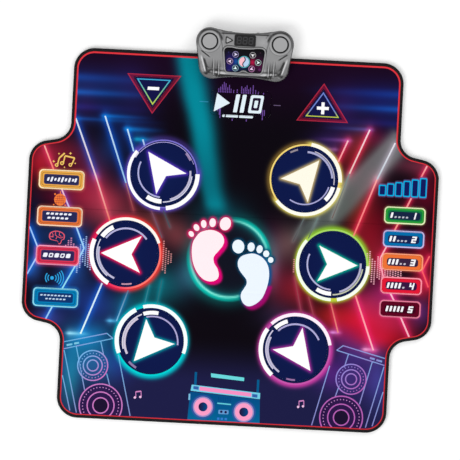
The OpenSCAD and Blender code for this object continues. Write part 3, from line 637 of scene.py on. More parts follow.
# soft colour round the feet: loops, colour, spread, offset, strength
FOOT_GLOWS = (
    ([SOLE_LEFT] + TOES_LEFT, (232, 30, 100), 5.0, (0.5, 0), 0.9),
    ([SOLE_LEFT], (228, 0, 118), 3.0, (6, -5), 0.9),
    ([SOLE_RIGHT] + TOES_RIGHT, (0, 75, 110), 4.5, (0.5, 0.5), 0.85),
    ([SOLE_RIGHT], (10, 85, 165), 3.0, (4, -1), 0.5),
    ([[(x, y) for x, y in SOLE_RIGHT if y < -95]], (188, 0, 112), 4.0, (7, -5), 0.8))


# ---------------------------------------------------------------- soft colours
class Wash:
    """Colours of a set of points, with soft light laid over them."""
    def __init__(self, x, colour=(0, 0, 0)):
        self.rgb = np.zeros(x.shape + (3,)) + np.array(colour, float)

    def screen(self, colour, amount):
        light = np.clip(amount, 0, 1)[..., None] * np.asarray(colour, float) / 255
        self.rgb = 255 - (255 - self.rgb) * (1 - light)

    def mix(self, colour, amount):
        share = np.clip(amount, 0, 1)[..., None]
        self.rgb = self.rgb * (1 - share) + np.asarray(colour, float) * share


def wash_glows(wash, x, y):
    for cx, cy, half_x, half_y, turn, colour in GLOWS:
        cos_t, sin_t = math.cos(math.radians(turn)), math.sin(math.radians(turn))
        along = (x - cx) * cos_t + (y - cy) * sin_t
        across = -(x - cx) * sin_t + (y - cy) * cos_t
        wash.screen(colour, np.exp(-0.62 * ((along / half_x) ** 2 + (across / half_y) ** 2)))


def wash_beams(wash, x, y):
    # grey beam on the right
    dist, share = seg_dist(x, y, (388, 262), (150, -12))
    beam = bell(np.maximum(dist - 15, 0), 17)
    wash.mix((108, 108, 110), 0.88 * beam * ramp(0, 0.06, share) * (1 - ramp(0.42, 1.0, share)))
    wash.mix((86, 96, 92), 0.75 * beam * ramp(0.40, 0.62, share) * (1 - ramp(0.9, 1.0, share)))
    # teal beam on the left, sharper on its left side
    middle = np.interp(y, [60, 90, 120, 160, 200, 240, 280, 320, 360, 412],
                       [-35, -42, -51, -59, -68, -75, -84, -96, -105, -114])
    off = (x - middle) / np.interp(y, [60, 120, 412], [21, 24, 30])
    beam = np.where(off < 0, bell(np.abs(off), 1.12, 3.2), bell(np.abs(off), 1.25, 2.6))
    wash.mix((0, 135, 152), beam * ramp(44, 84, y) * (0.76 + 0.24 * ramp(90, 280, y)))
    # faint fan of light behind the feet
    wash.screen((0, 46, 52), spot(x, y, -30, 60, 60, 40))


def wash_streaks(wash, x, y):
    for bright_x, faint_x, level, colour, height in STREAKS:
        run = (x - bright_x) * (1 if faint_x > bright_x else -1)
        share = run / abs(faint_x - bright_x)
        tip = bell(np.maximum(-run, 0), 9)
        along = np.where(share < 0, tip, np.clip(1 - share, 0, 1) ** 1.2)
        wash.screen(colour, bell(y - level, height) * along)
        wash.screen(colour, 0.45 * bell(y - level, height * 3.4) * along)


def wash_lines(wash, x, y):
    for points, _, _, _, glow, spread in LINES:
        for start, end in zip(points[:-1], points[1:]):
            if max(start[0], end[0]) < x.min() - 40 or min(start[0], end[0]) > x.max() + 40:
                continue
            dist, share = seg_dist(x, y, start, end)
            ends = ramp(-0.02, 0.05, share) * ramp(1.02, 0.95, share) * 0.25 + 0.75
            wash.screen(glow, 0.66 * bell(dist, spread * 0.9) * ends)
            wash.screen(glow, 0.20 * bell(dist, spread * 2.4) * ends)


def wash_key_rims(wash, x, y):
    for i, ((cx, cy), (colour, strength)) in enumerate(zip(MODES.values(), MODE_RIMS)):
        dist = rect_dist(x, y, cx - 1, cy - (0 if i else 0.5), 42, 13) - 9
        wash.screen(colour, strength * bell(np.maximum(dist, 0), 4.0) * 0.45)
    for (cx, cy), colour in zip(LEVELS.values(), LEVEL_RIMS):
        dist = rect_dist(x, y, cx + 0.5, cy - 0.5, 37, 10) - 9
        wash.screen(colour, 0.34 * bell(np.maximum(dist, 0), 3.0))


def ring_colour(ring, key, angle):
    """The ring's base or glow colour at an angle."""
    colour = np.array(ring_value, float) if (ring_value := getattr(ring, key)) else None
    if key not in ring.far:
        return colour
    share = ring.far["share"](angle)[..., None]
    return colour * (1 - share) + np.array(ring.far[key], float) * share


def wash_rings(wash, x, y):
    for ring in RINGS.values():
        (cx, cy), (ax, ay) = ring.centre, ring.arcs_at
        near_pad = np.hypot(x - cx, y - cy) < 150
        radius = np.hypot(x - ax, y - ay)
        angle = np.degrees(np.arctan2(y - ay, x - ax))
        beside = np.zeros(x.shape)      # 1 beside the wide arcs
        for centre, _, outer, start, end, _ in ring.arcs:
            if centre == "a" and outer > 81.5:
                past = np.abs(turn_from(angle, (start + end) / 2)) - (end - start) / 2
                beside = np.maximum(beside, ramp(14, 0, past))
        glow = ring_colour(ring, "glow", angle)
        if ring.glow_arc:
            share = beside[..., None]
            glow = glow * (1 - share) + np.array(ring.glow_arc, float) * share
        spread = np.where(near_pad, bell(np.maximum(radius - 81.0, 0), 7.0), 0)
        wash.mix(glow, spread * 0.92 * (ring.soft + (1 - ring.soft) * beside))
        edge = ring.line[0] + ring.line[1] / 2
        wash.mix(ring_colour(ring, "base", angle), ramp(edge, edge - 1.0, radius) * near_pad)


def wash_feet(wash, x, y):
    radius = np.hypot(x - FEET[0], y - FEET[1])
    angle = np.degrees(np.arctan2(y - FEET[1], x - FEET[0]))
    wash.mix((15, 18, 32), np.where(radius < 89, 0.93, 0) * ramp(90, 84, radius))
    # the ring is brightest at 42 and -125 degrees, with dips at 100 and -22
    bright = 0.55 + 0.45 * np.maximum(bell(turn_from(angle, 42), 48),
                                      bell(turn_from(angle, -125), 62))
    bright = bright * (1 - 0.55 * bell(turn_from(angle, 100), 22))
    bright = bright * (1 - 0.75 * bell(turn_from(angle, -22), 26))
    wash.mix((0, 172, 152), 0.85 * bright * bell(radius - 91.4, 5.2, 4))
    wash.screen((0, 120, 110), 0.55 * bright * bell(radius - 92, 20))
    wash.screen((0, 110, 105), 0.55 * bright * bell(radius - 84, 6))
    wash.mix((135, 236, 218), 0.95 * np.clip(bright + 0.1, 0, 1) * bell(radius - 87, 2.6))
    close = radius < 135
    close_x, close_y = x[close], y[close]
    for loops, colour, spread, (dx, dy), strength in FOOT_GLOWS:
        dist = np.full(close_x.shape, 1e9)
        covered = np.zeros(close_x.shape, bool)
        for loop in loops:
            moved = [(px + dx, py + dy) for px, py in loop]
            dist = np.minimum(dist, loop_dist(close_x, close_y, moved))
            covered |= inside(close_x, close_y, [moved])
        dist[covered] = 0
        amount = np.zeros(x.shape)
        amount[close] = bell(dist, spread) * strength
        wash.mix(colour, amount)


def mat_colour(x, y):
    """Soft colours of the whole print: dark, turning navy at the front and violet at the back."""
    wash = Wash(x, (9, 4, 13))
    wash.mix((27, 27, 68), ramp(-215, -330, y))
    wash.rgb += (ramp(230, 400, y) * 15)[..., None] * np.array([1, 0, 1.0])
    for lay in (wash_glows, wash_beams, wash_streaks, wash_lines, wash_key_rims, wash_rings,
                wash_feet):
        lay(wash, x, y)
    return np.clip(wash.rgb, 0, 255)


def pad_colour(ring):
    """Soft colours of a step pad: navy with a glow round the arrow."""
    def colour_at(x, y):
        radius = np.hypot(x - ring.centre[0], y - ring.centre[1])
        wash = Wash(x, (11, 26, 76))
        wash.rgb -= 4 * ramp(0, 60, radius)[..., None] * np.array([0.3, 1, 1.2])
        dist = loop_dist(x, y, ring.arrow)
        dist[inside(x, y, [ring.arrow])] = 0
        wash.mix(ring.arrow_glow, 0.95 * bell(dist, 5.4))
        wash.mix(NAVY, bell(np.maximum(PAD_R - radius, 0), 1.1) * 0.5)
        return np.clip(wash.rgb, 0, 255)
    return colour_at


# ---------------------------------------------------------------- hard-edged printed shapes
inked = []      # (loops, colour, alpha, bounds), in painting order


def ink(loops, colour, alpha=1.0):
    """Adds a shape: one loop, or several filled even-odd. colour may be a function of x, y."""
    if np.ndim(loops[0][0]) == 0:
        loops = [loops]
    loops = [[(float(x), float(y)) for x, y in loop] for loop in loops]
    xs = [p[0] for loop in loops for p in loop]
    ys = [p[1] for loop in loops for p in loop]
    inked.append((loops, colour, alpha, (min(xs), min(ys), max(xs), max(ys))))


def take_inked():
    """Hands over the shapes inked so far and starts afresh."""
    taken = inked[:]
    inked.clear()
    return taken


def stroke(points, width, colour, alpha=1.0):
    for start, end in zip(points[:-1], points[1:]):
        ink(bar(start, end, width), colour, alpha)


def gradient(start, end, first, last):
    """Colour running from first at start to last at end."""
    start, end, first, last = (np.array(v, float) for v in (start, end, first, last))

    def colour_at(x, y):
        run = end - start
        share = ((x - start[0]) * run[0] + (y - start[1]) * run[1]) / (run @ run)
        share = np.clip(share, 0, 1)[..., None]
        return first * (1 - share) + last * share
    return colour_at


# strokes of a seven-stroke figure in a unit box, and the strokes of each figure
STROKES = {"a": ((0, 1), (1, 1)), "b": ((1, 1), (1, 0.5)), "c": ((1, 0.5), (1, 0)),
           "d": ((0, 0), (1, 0)), "e": ((0, 0), (0, 0.5)), "f": ((0, 0.5), (0, 1)),
           "g": ((0, 0.5), (1, 0.5))}
FIGURES = ("bc", "abged", "abgcd", "fgbc", "afgcd")


def ink_figure(strokes, x, y, width, height, thick, reach, slant, colour):
    """Slanted figure; each stroke runs past its ends by reach."""
    for key in strokes:
        (x0, y0), (x1, y1) = STROKES[key]
        start = (x + (x0 - 0.5) * width, y + (y0 - 0.5) * height)
        end = (x + (x1 - 0.5) * width, y + (y1 - 0.5) * height)
        length = math.hypot(end[0] - start[0], end[1] - start[1])
        ux = (end[0] - start[0]) / length * reach
        uy = (end[1] - start[1]) / length * reach
        loop = bar((start[0] - ux, start[1] - uy), (end[0] + ux, end[1] + uy), thick)
        ink([(px + slant * (py - y), py) for px, py in loop], colour)


def ink_dot_ring(cx, cy, radius, count, phase, size, colour, alpha):
    for k in range(count):
        angle = 2 * math.pi * (k + phase) / count
        ink(dot(cx + radius * math.cos(angle), cy + radius * math.sin(angle), size), colour, alpha)


def cut_front(loop):
    return [(x, max(y, PRINT_FRONT)) for x, y in loop]


def ink_light_lines():
    for points, width, first, last, _, _ in LINES:
        first, last = np.array(first), np.array(last)
        spans = len(points) - 1
        for k, (start, end) in enumerate(zip(points[:-1], points[1:])):
            near, far = k / spans, (k + 1) / spans
            ink(bar(start, end, width),
                gradient(start, end, first * (1 - near) + last * near,
                         first * (1 - far) + last * far), 0.92)


# columns of small dashes either side of the middle pads: colour, (x, back end, front end)
DASH_COLUMNS = (
    ((235, 150, 190), ((-372, -31, -38), (-366, -20, -38), (-360, -14, -38), (-354, -27, -40))),
    ((170, 200, 245), ((-348, -33, -76), (-344, -35, -92), (-338, -28, -80), (-332, -15, -70),
                       (-326, -9, -76), (-320, -26, -80), (-314, -32, -86))),
    ((225, 150, 150), ((-150, -10, -75), (-144, -26, -85), (-138, -32, -62), (-132, -38, -58))),
    ((230, 140, 150), ((147, -36, -64), (153, -42, -56))),
    ((255, 185, 200), ((312, -14, -40), (318, -9, -60), (324, -26, -78), (330, -31, -86),
                       (337, -20, -70), (342, -28, -74), (348, -42, -70), (354, -46, -62),
                       (360, -48, -62), (366, -46, -62), (372, -48, -64), (378, -46, -62),
                       (384, -48, -66), (390, -46, -62))))


def ink_dash_columns():
    for colour, columns in DASH_COLUMNS:
        for x, y, end in columns:
            while y > end:
                ink([(x - 1.7, y - 1.3), (x + 1.7, y - 1.3), (x + 1.7, y + 1.3),
                     (x - 1.7, y + 1.3)], colour, 0.85)
                y -= 4.6


# line drawing of the left speaker, mirrored for the right: points, width, colours at both ends
SPEAKER_LINE = (2.4, (110, 190, 232), (150, 160, 220))
SPEAKER_CHIP = (4.2, (150, 215, 235), (120, 200, 230))
SPEAKER_STROKES = (
    ([(-364, -249), (-268, -225), (-254, -236), (-338, -258), (-364, -265)], SPEAKER_LINE),
    ([(-358, -256.5), (-345, -253.5)], SPEAKER_CHIP), ([(-341, -252), (-330, -249.5)], SPEAKER_CHIP),
    ([(-363, -268), (-328, -408)], SPEAKER_LINE), ([(-364, -325), (-343, -404)], SPEAKER_LINE),
    ([(-336, -258), (-312, -356)], SPEAKER_LINE), ([(-281, -244), (-273, -275)], SPEAKER_LINE),
    ([(-264, -316), (-256, -342)], SPEAKER_LINE), ([(-240, -272), (-206, -409)], SPEAKER_LINE))
SPEAKERS = (
    SimpleNamespace(sign=1, small=(-296.5, -299.5), big=(-274, -389), back=(120, 180, 232),
                    front=(208, 120, 195), fill=(50, 90, 160), rim=(206, 122, 194), line=None),
    SimpleNamespace(sign=-1, small=(290, -300), big=(272, -388), back=(150, 140, 220),
                    front=(190, 100, 185), fill=(70, 60, 130), rim=(190, 100, 185),
                    line=((140, 182, 238), (158, 150, 222))))


def ink_speakers():
    for speaker in SPEAKERS:
        for points, (width, *colours) in SPEAKER_STROKES:
            points = [(speaker.sign * x, y) for x, y in points]
            for start, end in zip(points[:-1], points[1:]):
                ink(bar(start, end, width), gradient(start, end, *(speaker.line or colours)), 0.85)
        x, y = speaker.small
        shade = gradient((x - 20, y + 20), (x + 26, y - 20), speaker.back, speaker.front)
        ink(circle(x, y, 33), speaker.fill, 0.30)
        for radius in (34, 21.5, 12.5):
            ink(ring_loops(x, y, radius, 2.7), shade, 0.95)
        ink_dot_ring(x, y, 28, 24, 0, 1.4, shade, 0.85)
        x, y = speaker.big
        ink(cut_front(circle(x, y, 48)), (60, 10, 70), 0.45)
        for radius in (48.5, 30.5, 17.5):
            ink(ring_loops(x, y, radius, 2.8), speaker.rim, 0.95)
        ink(circle(x, y, 16), (24, 14, 40), 0.8)
        ink_dot_ring(x, y, 41, 36, 0.5, 1.3, (215, 150, 215), 0.9)


def ink_music_notes():
    for x, y, size in ((-190, -358, 1.0), (180, -360, 0.9)):
        left, right = x - 6 * size, x + 6 * size
        pink = (205, 130, 190)
        ink(bar((left, y + 4), (right, y + 6), 3), pink)
        ink(bar((left, y + 4), (x - 5 * size, y - 9), 1.8), pink)
        ink(bar((right, y + 6), (x + 7 * size, y - 7), 1.8), pink)
        ink(dot(x - 7.4 * size, y - 9, 2.8), (235, 190, 225))
        ink(dot(x + 4.8 * size, y - 7, 2.8), (235, 190, 225))


def ink_stereo():
    """Portable stereo at the front edge."""
    for loop, colour in (
            (bar((-62, -302), (-62, -332), 5.5), (0, 88, 138)),
            (bar((80, -312), (80, -342), 5.5), (0, 88, 138)),
            ([(-28, -303), (48, -309), (48, -317), (-27, -312)], (104, 212, 216)),
            ([(-73, -347), (86, -357), (88, -411), (-76, -411)],
             gradient((0, -350), (0, -411), (0, 74, 130), (0, 98, 146))),
            ([(-76, -352), (-72, -352), (-72, -366), (-76, -366)], (120, 185, 220)),
            ([(-70, -331), (86, -342), (86, -356), (-72, -345)], (112, 202, 226)),
            ([(-52, -334.5), (66, -342.8), (66, -351.5), (-52, -343.5)], (242, 142, 192)),
            ([(-66, -334), (-54, -334.8), (-54, -342), (-66, -341)], (50, 95, 165)),
            ([(68, -345), (80, -345.8), (80, -353), (68, -352.2)], (50, 95, 165))):
        ink(loop, colour)
    for x, y in ((-42, -380), (51, -387)):
        ink(cut_front(circle(x, y, 27)), (60, 80, 160), 0.7)
        ink(cut_front(circle(x, y, 23)), (170, 150, 200), 0.85)
        ink(cut_front(circle(x, y, 20)), (247, 155, 196))
        ink(circle(x, y, 10.3), gradient((x - 9, y), (x + 6, y), (36, 20, 60), (0, 62, 120)))
    ink(bar((-10, -370), (21, -371.5), 3), (96, 200, 214))
    ink(rounded_rect(5, -389.5, 23, 9.5, 2), (96, 150, 205))
    ink(dot(0, -389, 3, 12), (26, 20, 66))
    ink(dot(10, -389.5, 3, 12), (26, 20, 66))
    for x in (-6, 2, 11):
        ink(rounded_rect(x, -405, 5.5, 5, 1.2), (50, 120, 205))
    for x in range(-8, 21, 4):
        ink(bar((x, -356), (x, -366), 1.2), (0, 60, 112), 0.8)


def ink_feet():
    ink(SOLE_LEFT, (255, 236, 241))
    ink(SOLE_RIGHT, (235, 244, 255))
    for toe in TOES_LEFT:
        ink(toe, (255, 236, 241))
    for toe in TOES_RIGHT:
        ink(toe, (236, 246, 255))


def ring_tint(ring):
    ax, ay = ring.arcs_at
    return lambda x, y: ring_colour(ring, "base", np.degrees(np.arctan2(y - ay, x - ax)))


def ink_rings():
    for ring in RINGS.values():
        radius, width = ring.line
        ink([circle(*ring.arcs_at, radius - width / 2 + 0.3), circle(*ring.centre, 71.9)], NAVY)
        ink(ring_loops(*ring.arcs_at, radius, width), ring_tint(ring))
        for centre, inner, outer, start, end, colour in ring.arcs:
            middle = ring.arcs_at if centre == "a" else ring.centre
            ink(band(middle, inner, outer, start, end), colour)
        ink(ring.arrow, ring.head)


def ink_triangle_frame(outer, inner, line):
    ink([outer, grow(inner, 1.13)], (150, 18, 52), 0.62)
    ink([outer, grow(outer, 0.93)], (214, 52, 74), 0.62)
    ink([grow(inner, 1.20), grow(inner, 1.13)], (20, 8, 44), 0.8)
    ink(grow(inner, 1.13), (17, 19, 70))
    ink([grow(inner, 1.0), grow(inner, 0.88)], line)


def ink_triangles():
    ink_triangle_frame([(-253, 366.5), (-130, 366.5), (-192, 277)],
                       [(-231, 356), (-153, 356), (-192, 297)],
                       gradient((0, 356), (0, 299), (60, 172, 218), (196, 214, 70)))
    ink([(-205.5, 331.2), (-179.5, 331.2), (-178.5, 338.4), (-204.5, 338.4)], WHITE)
    ink_triangle_frame([(135, 279.5), (253, 279.5), (194, 367)],
                       [(155, 290), (232, 290), (193.5, 347)],
                       gradient((0, 291), (0, 306), (192, 204, 64), (112, 134, 212)))
    ink(bar((180.5, 310), (207.5, 310), 7), WHITE)
    ink(bar((194, 296.5), (194, 323.5), 7), WHITE)


# bars of sound round the start pad's sign: x and end of those that start at y 334
SOUND_BACK = (
    (-44, 343), (-40, 347), (-36, 352), (-32, 358), (-28, 355), (-24, 346), (-20, 352), (-16, 343),
    (-10, 341), (-2, 343), (8, 350), (12, 345), (16, 349), (20, 353), (24, 344), (28, 348),
    (34, 354), (40, 343), (46, 340), (58, 338))
# and x, start and end of the rest
SOUND_FRONT = ((-44, 291, 299), (-40, 283, 299), (-38, 276, 299), (58, 276, 299),
               (62, 286, 299), (54, 288, 299), (22, 271, 276), (-10, 271, 276))


def ink_start_pad():
    for x, start, end in tuple((x, 334, end) for x, end in SOUND_BACK) + SOUND_FRONT:
        ink(bar((x, start), (x, end), 1.9), (124, 84, 176), 0.9)
    ink(bar((-86, 311), (-66, 311), 1.6), (60, 150, 190), 0.8)
    ink(bar((82, 311), (98, 311), 1.6), (130, 110, 150), 0.8)
    light, dark = (228, 242, 250), (30, 16, 44)
    for loop, colour in (
            ([(-50, 290), (-50, 332), (-17, 311)], light),
            (rounded_rect(-2, 311, 9, 41, 1.5), light), (rounded_rect(13, 311, 9, 41, 1.5), light),
            (rounded_rect(42, 311, 30, 41, 4), light), (rounded_rect(42, 311, 18, 29, 2.5), dark),
            (rounded_rect(42, 311, 8, 17, 1.5), light), (rounded_rect(6, 281.5, 70, 5.4, 2), light),
            (rounded_rect(-22, 281.5, 3, 5.4, 0.4), dark),
            (rounded_rect(8, 281.5, 3, 5.4, 0.4), dark)):
        ink([(x + 0.14 * (y - 310), y) for x, y in loop], colour)


MARK_X = -389
# printed frames of the mode keys: y (first centred on MARK_X), width, height, band, outer line,
# ledge and inside colours
MODE_FRAMES = (
    (117.5, 102, 43, (232, 168, 72), (255, 228, 180), (70, 60, 96), (40, 42, 82)),
    (34, 102, 44, (230, 115, 55), (243, 208, 178), (70, 60, 96), (38, 40, 84)),
    (-54.5, 98, 43, (216, 48, 82), (244, 150, 180), (70, 60, 96), (46, 34, 84)),
    (-150, 102, 42, (0, 124, 180), (132, 212, 235), (8, 70, 130), (12, 50, 104)))


def ink_mode_keys():
    x = MARK_X
    for y, width, height, colour, line, ledge, middle in MODE_FRAMES:
        shaded = tuple(int(v * 0.72) for v in colour)
        # each layer: cut from width, cut from height, corner radius, colour
        for cut_x, cut_y, radius, fill in (
                (-1, -1, 9.5, line), (5, 5, 7.5, colour), (12, 12, 5.5, shaded),
                (15, 15, 5, colour), (22, 20, 4.5, ledge), (25, 23, 3.5, middle)):
            ink(rounded_rect(x, y, width - cut_x, height - cut_y, radius), fill)
    # rows of slanted marks on the keys
    pale = (238, 240, 250)
    for dx, height in ((-30, 8), (-22, 11), (-14, 6), (-6, 9), (2, 12), (10, 7), (18, 10),
                       (26, 6), (32, 9)):
        ink(rounded_rect(x + dx, 117.5, 4.4, height, 1.2, 0.3), pale)
    for first, count, y in ((-27, 6, 39.5), (-24, 5, 30)):
        for k in range(count):
            ink(rounded_rect(x + first + 10 * k, y, 7.0, 4.6, 1.4, 0.3), pale)
    for k in range(5):
        loops = [rounded_rect(x - 28 + 13 * k, -54.5, 9.6, 9.6, 2, 0.25)]
        if k in (1, 3):
            loops.append(rounded_rect(x - 28 + 13 * k, -54.5, 4.8, 4.8, 1, 0.25))
        ink(loops, pale)
    for first, count, y in ((-32, 9, -145.5), (-20, 6, -153.5)):
        for k in range(count):
            ink(rounded_rect(x + first + 8 * k, y, 5.4, 3.2, 0.9, 0.3), (190, 215, 240))


def ink_notes_icon():
    yellow = (238, 196, 100)
    for start, end, width in (
            ((-384, 172), (-362, 168), 3.6), ((-397, 166), (-385, 178), 3.6),
            ((-384, 172), (-387, 156), 3), ((-362, 168), (-368, 153), 3),
            ((-397, 166), (-400, 151), 3)):
        ink(bar(start, end, width), yellow)
    for x, y, radius in ((-390, 155, 4.6), (-371, 152, 4.2), (-402, 150, 4.2)):
        ink([dot(x, y, radius, 14), dot(x, y, radius * 0.42, 8)], yellow)
    # four-pointed sparkles
    for x, y, r in ((-409, 158, 3.2), (-372, 178, 3.4), (-398, 176, 2.6), (-360, 156, 2.4),
                    (-384, 146, 2.2)):
        dip = r * 0.35
        ink([(x, y + r), (x + dip, y + dip), (x + r, y), (x + dip, y - dip), (x, y - r),
             (x - dip, y - dip), (x - r, y), (x - dip, y + dip)], yellow)


def ink_ball_icon():
    orange, seam = (242, 124, 56), (150, 50, 50)
    ink([circle(-390, 72, 13.5)], orange)
    for dy in (-7, -2.4, 2.4, 7):
        ink(bar((-402, 72 + dy), (-378, 72 + dy), 1.0), seam, 0.8)
    for dx in (-8, -2.7, 2.7, 8):
        ink(bar((-390 + dx, 61), (-390 + dx * 0.6, 83), 1.0), seam, 0.8)
    ink(bar((-390, 85), (-390, 91), 2), orange)
    for x, y, radius in ((-402, 84, 2.2), (-378, 60, 1.8), (-404, 60, 1.8)):
        ink(dot(x, y, radius), orange)


def ink_brain_icon():
    rose = (226, 88, 108)
    lobes = smooth_loop([
        (-411, -12), (-409, -4), (-402, 0), (-394, 1.5), (-386, 0), (-379, -3), (-375, -9),
        (-376, -17), (-381, -20), (-383, -27), (-388, -29), (-391, -23), (-400, -21),
        (-408, -19)], 4)
    ink([lobes, grow(lobes, 0.86)], rose)
    for points in ([(-404, -4), (-401, -9), (-404, -14)],
                   [(-396, -1), (-397, -8), (-392, -12), (-395, -18)],
                   [(-387, -2), (-388, -8), (-383, -11)], [(-408, -12), (-400, -13)],
                   [(-391, -12), (-384, -15), (-378, -12)]):
        stroke(points, 1.5, rose)


def ink_waves_icon():
    source, blue = (-399, -106), (44, 164, 226)
    ink(dot(*source, 4.2, 14), blue)
    for radius in (9.5, 15, 20.5, 26):
        ink(band(source, radius - 1.2, radius + 1.2, -42, 42), blue, 0.95)
        if radius < 20:
            ink(band(source, radius - 1.2, radius + 1.2, 138, 222), blue, 0.95)


def ink_level_heading():
    """Rising bars behind the level keys."""
    columns = [(338.5 + 18.4 * k, 25 + 4.0 * k) for k in range(6)]
    for x, height in columns:
        ink(rounded_rect(x, 119 + height / 2, 19.4, height + 6, 4.5), (120, 110, 190), 0.45)
    for x, height in columns:
        ink(rounded_rect(x, 119 + height / 2, 17.0, height, 3.2), (0, 170, 224))
        ink(rounded_rect(x, 119 + height / 2, 11.4, height - 5.6, 1.8), (14, 26, 92))


# printed frames of the level keys: y, fill, outer line
LEVEL_FRAMES = ((76.5, (44, 156, 56), (228, 242, 188)), (23, (0, 108, 170), (196, 188, 232)),
                (-29, (238, 114, 52), (252, 158, 120)), (-82.5, (226, 22, 52), (255, 150, 168)),
                (-135.5, (92, 0, 30), (232, 126, 154)))


def ink_level_keys():
    pale = (248, 248, 252)
    for i, (y, fill, line) in enumerate(LEVEL_FRAMES):
        x = 392.5
        ink(rounded_rect(x, y, 93.5, 38.5, 9.5), line)
        ink(rounded_rect(x, y, 87.5, 32.5, 7), fill)
        if i == 0:
            ink(rounded_rect(x, y, 79, 24, 5.5), (10, 120, 62))
        dark = (22, 20, 66) if i < 4 else (60, 0, 26)
        ink(rounded_rect(x, y - 0.4, 71, 18, 6), dark, 0.85)
        # one tall mark per level reached, short ones after
        for k in range(i + 1):
            ink(rounded_rect(363 + 8.6 * k, y, 4.9, 12.5, 1.1, 0.22), pale)
        for k in range(i + 1, 5):
            ink(rounded_rect(363 + 8.6 * k, y - 4, 4.9, 4.0, 1.1, 0.22), pale, 0.75)
        ink_figure(FIGURES[i], 416, y, width=7.2 if i else 0.1, height=11.5, thick=3.4,
                   reach=1.7, slant=0.22, colour=pale)


def ink_edge():
    """Black margin and red line round the mat."""
    ink([mat_outline(-3), mat_outline(7.4, 6.6, 5.4)], (4, 3, 5))
    ink([mat_outline(7.5, 6.6, 5.3), mat_outline(11.4, 10.2, 9.1)],
        gradient((0, -420), (0, 420), (206, 48, 58), (226, 54, 64)))


for ink_part in (ink_light_lines, ink_dash_columns, ink_speakers, ink_music_notes, ink_stereo,
                 ink_feet, ink_rings, ink_triangles, ink_start_pad, ink_mode_keys,
                 ink_notes_icon, ink_ball_icon, ink_brain_icon, ink_waves_icon,
                 ink_level_heading, ink_level_keys, ink_edge):
    ink_part()
MAT_SHAPES = take_inked()


# ---------------------------------------------------------------- meshes
def make_mesh(name, verts, faces, material, smooth=False):
    mesh = bpy.data.meshes.new(name)
    mesh.from_pydata([tuple(v) for v in verts], [], [tuple(f) for f in faces])
    mesh.update()
    ob = bpy.data.objects.new(name, mesh)
    scene.collection.objects.link(ob)
    mesh.materials.append(material)
    if smooth:
        mesh.polygons.foreach_set("use_smooth", [True] * len(mesh.polygons))
    return ob


def face_outward(ob):
    """Drops loose vertices and turns all the faces outward."""
    bm = bmesh.new()
    bm.from_mesh(ob.data)
    loose = [v for v in bm.verts if not v.link_faces]
    bmesh.ops.delete(bm, geom=loose, context="VERTS")
    bmesh.ops.recalc_face_normals(bm, faces=bm.faces)
    bm.to_mesh(ob.data)
    bm.free()


def split_edges(ob, degrees):
    ob.modifiers.new("edges", "EDGE_SPLIT").split_angle = math.radians(degrees)


def staggered(columns, rows, shift):
    """Grid points, every other row moved along by shift."""
    x, y = np.meshgrid(columns, rows)
    x = x + (np.arange(len(rows))[:, None] % 2) * shift
    return np.stack([x.ravel(), y.ravel()], 1)


def delaunay(points, edges, outer, holes, tolerance, need_ids):
    """Constrained triangulation kept inside outer and out of the holes: vertices, triangles
    and, if asked for, the input points merged into each vertex."""
    result = geometry.delaunay_2d_cdt([Vector(p) for p in points], edges, [], 0, tolerance,
                                      need_ids)
    verts = np.array([(v.x, v.y) for v in result[0]], float)
    tris = np.array(result[2], int)
    x, y = verts[tris].mean(1).T
    keep = inside(x, y, [outer])
    for hole in holes:
        low, high = np.min(hole, 0), np.max(hole, 0)
        near = np.nonzero((x > low[0]) & (x < high[0]) & (y > low[1]) & (y < high[1]))[0]
        keep[near[inside(x[near], y[near], [hole])]] = False
    return verts, tris[keep], result[3]


def face_up(verts, tris, least_area):
    """Turns the triangles anticlockwise and drops those with no area to speak of."""
    a, b, c = (verts[tris[:, k]] for k in range(3))
    area = (b[:, 0] - a[:, 0]) * (c[:, 1] - a[:, 1]) - (b[:, 1] - a[:, 1]) * (c[:, 0] - a[:, 0])
    tris[area < 0] = tris[area < 0][:, ::-1]
    return tris[np.abs(area) > least_area]


def triangulate(points, loops, lines, outer, holes):
    """Triangles through the points, with the closed loops and open lines as edges."""
    verts = [tuple(p) for p in points]
    edges = []
    for path, closed in [(loop, True) for loop in loops] + [(line, False) for line in lines]:
        first, count = len(verts), len(path)
        verts += [tuple(p) for p in path]
        edges += [(first + i, first + (i + 1) % count)
                  for i in range(count if closed else count - 1)]
    verts, tris, _ = delaunay(verts, edges, outer, holes, 1e-3, False)
    tris = face_up(verts, tris, 1e-6)
    used = np.unique(tris)
    renumber = -np.ones(len(verts), int)
    renumber[used] = np.arange(len(used))
    return verts[used], renumber[tris]


def boundary(tris):
    """Directed boundary edges of a triangulation."""
    edges = np.concatenate([tris[:, [0, 1]], tris[:, [1, 2]], tris[:, [2, 0]]])
    edges = dict.fromkeys(map(tuple, edges.tolist()))
    return [(i, j) for i, j in edges if (j, i) not in edges]


def paint(verts, tris, base, shapes):
    """Colour of each triangle corner: the base with the shapes inked over it."""
    colour = base[tris].copy()
    corners = verts[tris]
    middle = corners.mean(1)
    order = np.argsort(middle[:, 0], kind="stable")
    sorted_x = middle[order, 0]
    for loops, fill, alpha, (x0, y0, x1, y1) in shapes:
        first, last = np.searchsorted(sorted_x, [x0, x1])
        hit = order[first:last]
        hit = hit[(middle[hit, 1] >= y0) & (middle[hit, 1] <= y1)]
        hit = hit[inside(middle[hit, 0], middle[hit, 1], loops)]
        if not len(hit):
            continue
        value = (fill(corners[hit, :, 0], corners[hit, :, 1]) if callable(fill)
                 else np.asarray(fill, float))
        colour[hit] = colour[hit] * (1 - alpha) + value * alpha
    return np.clip(colour, 0, 255)


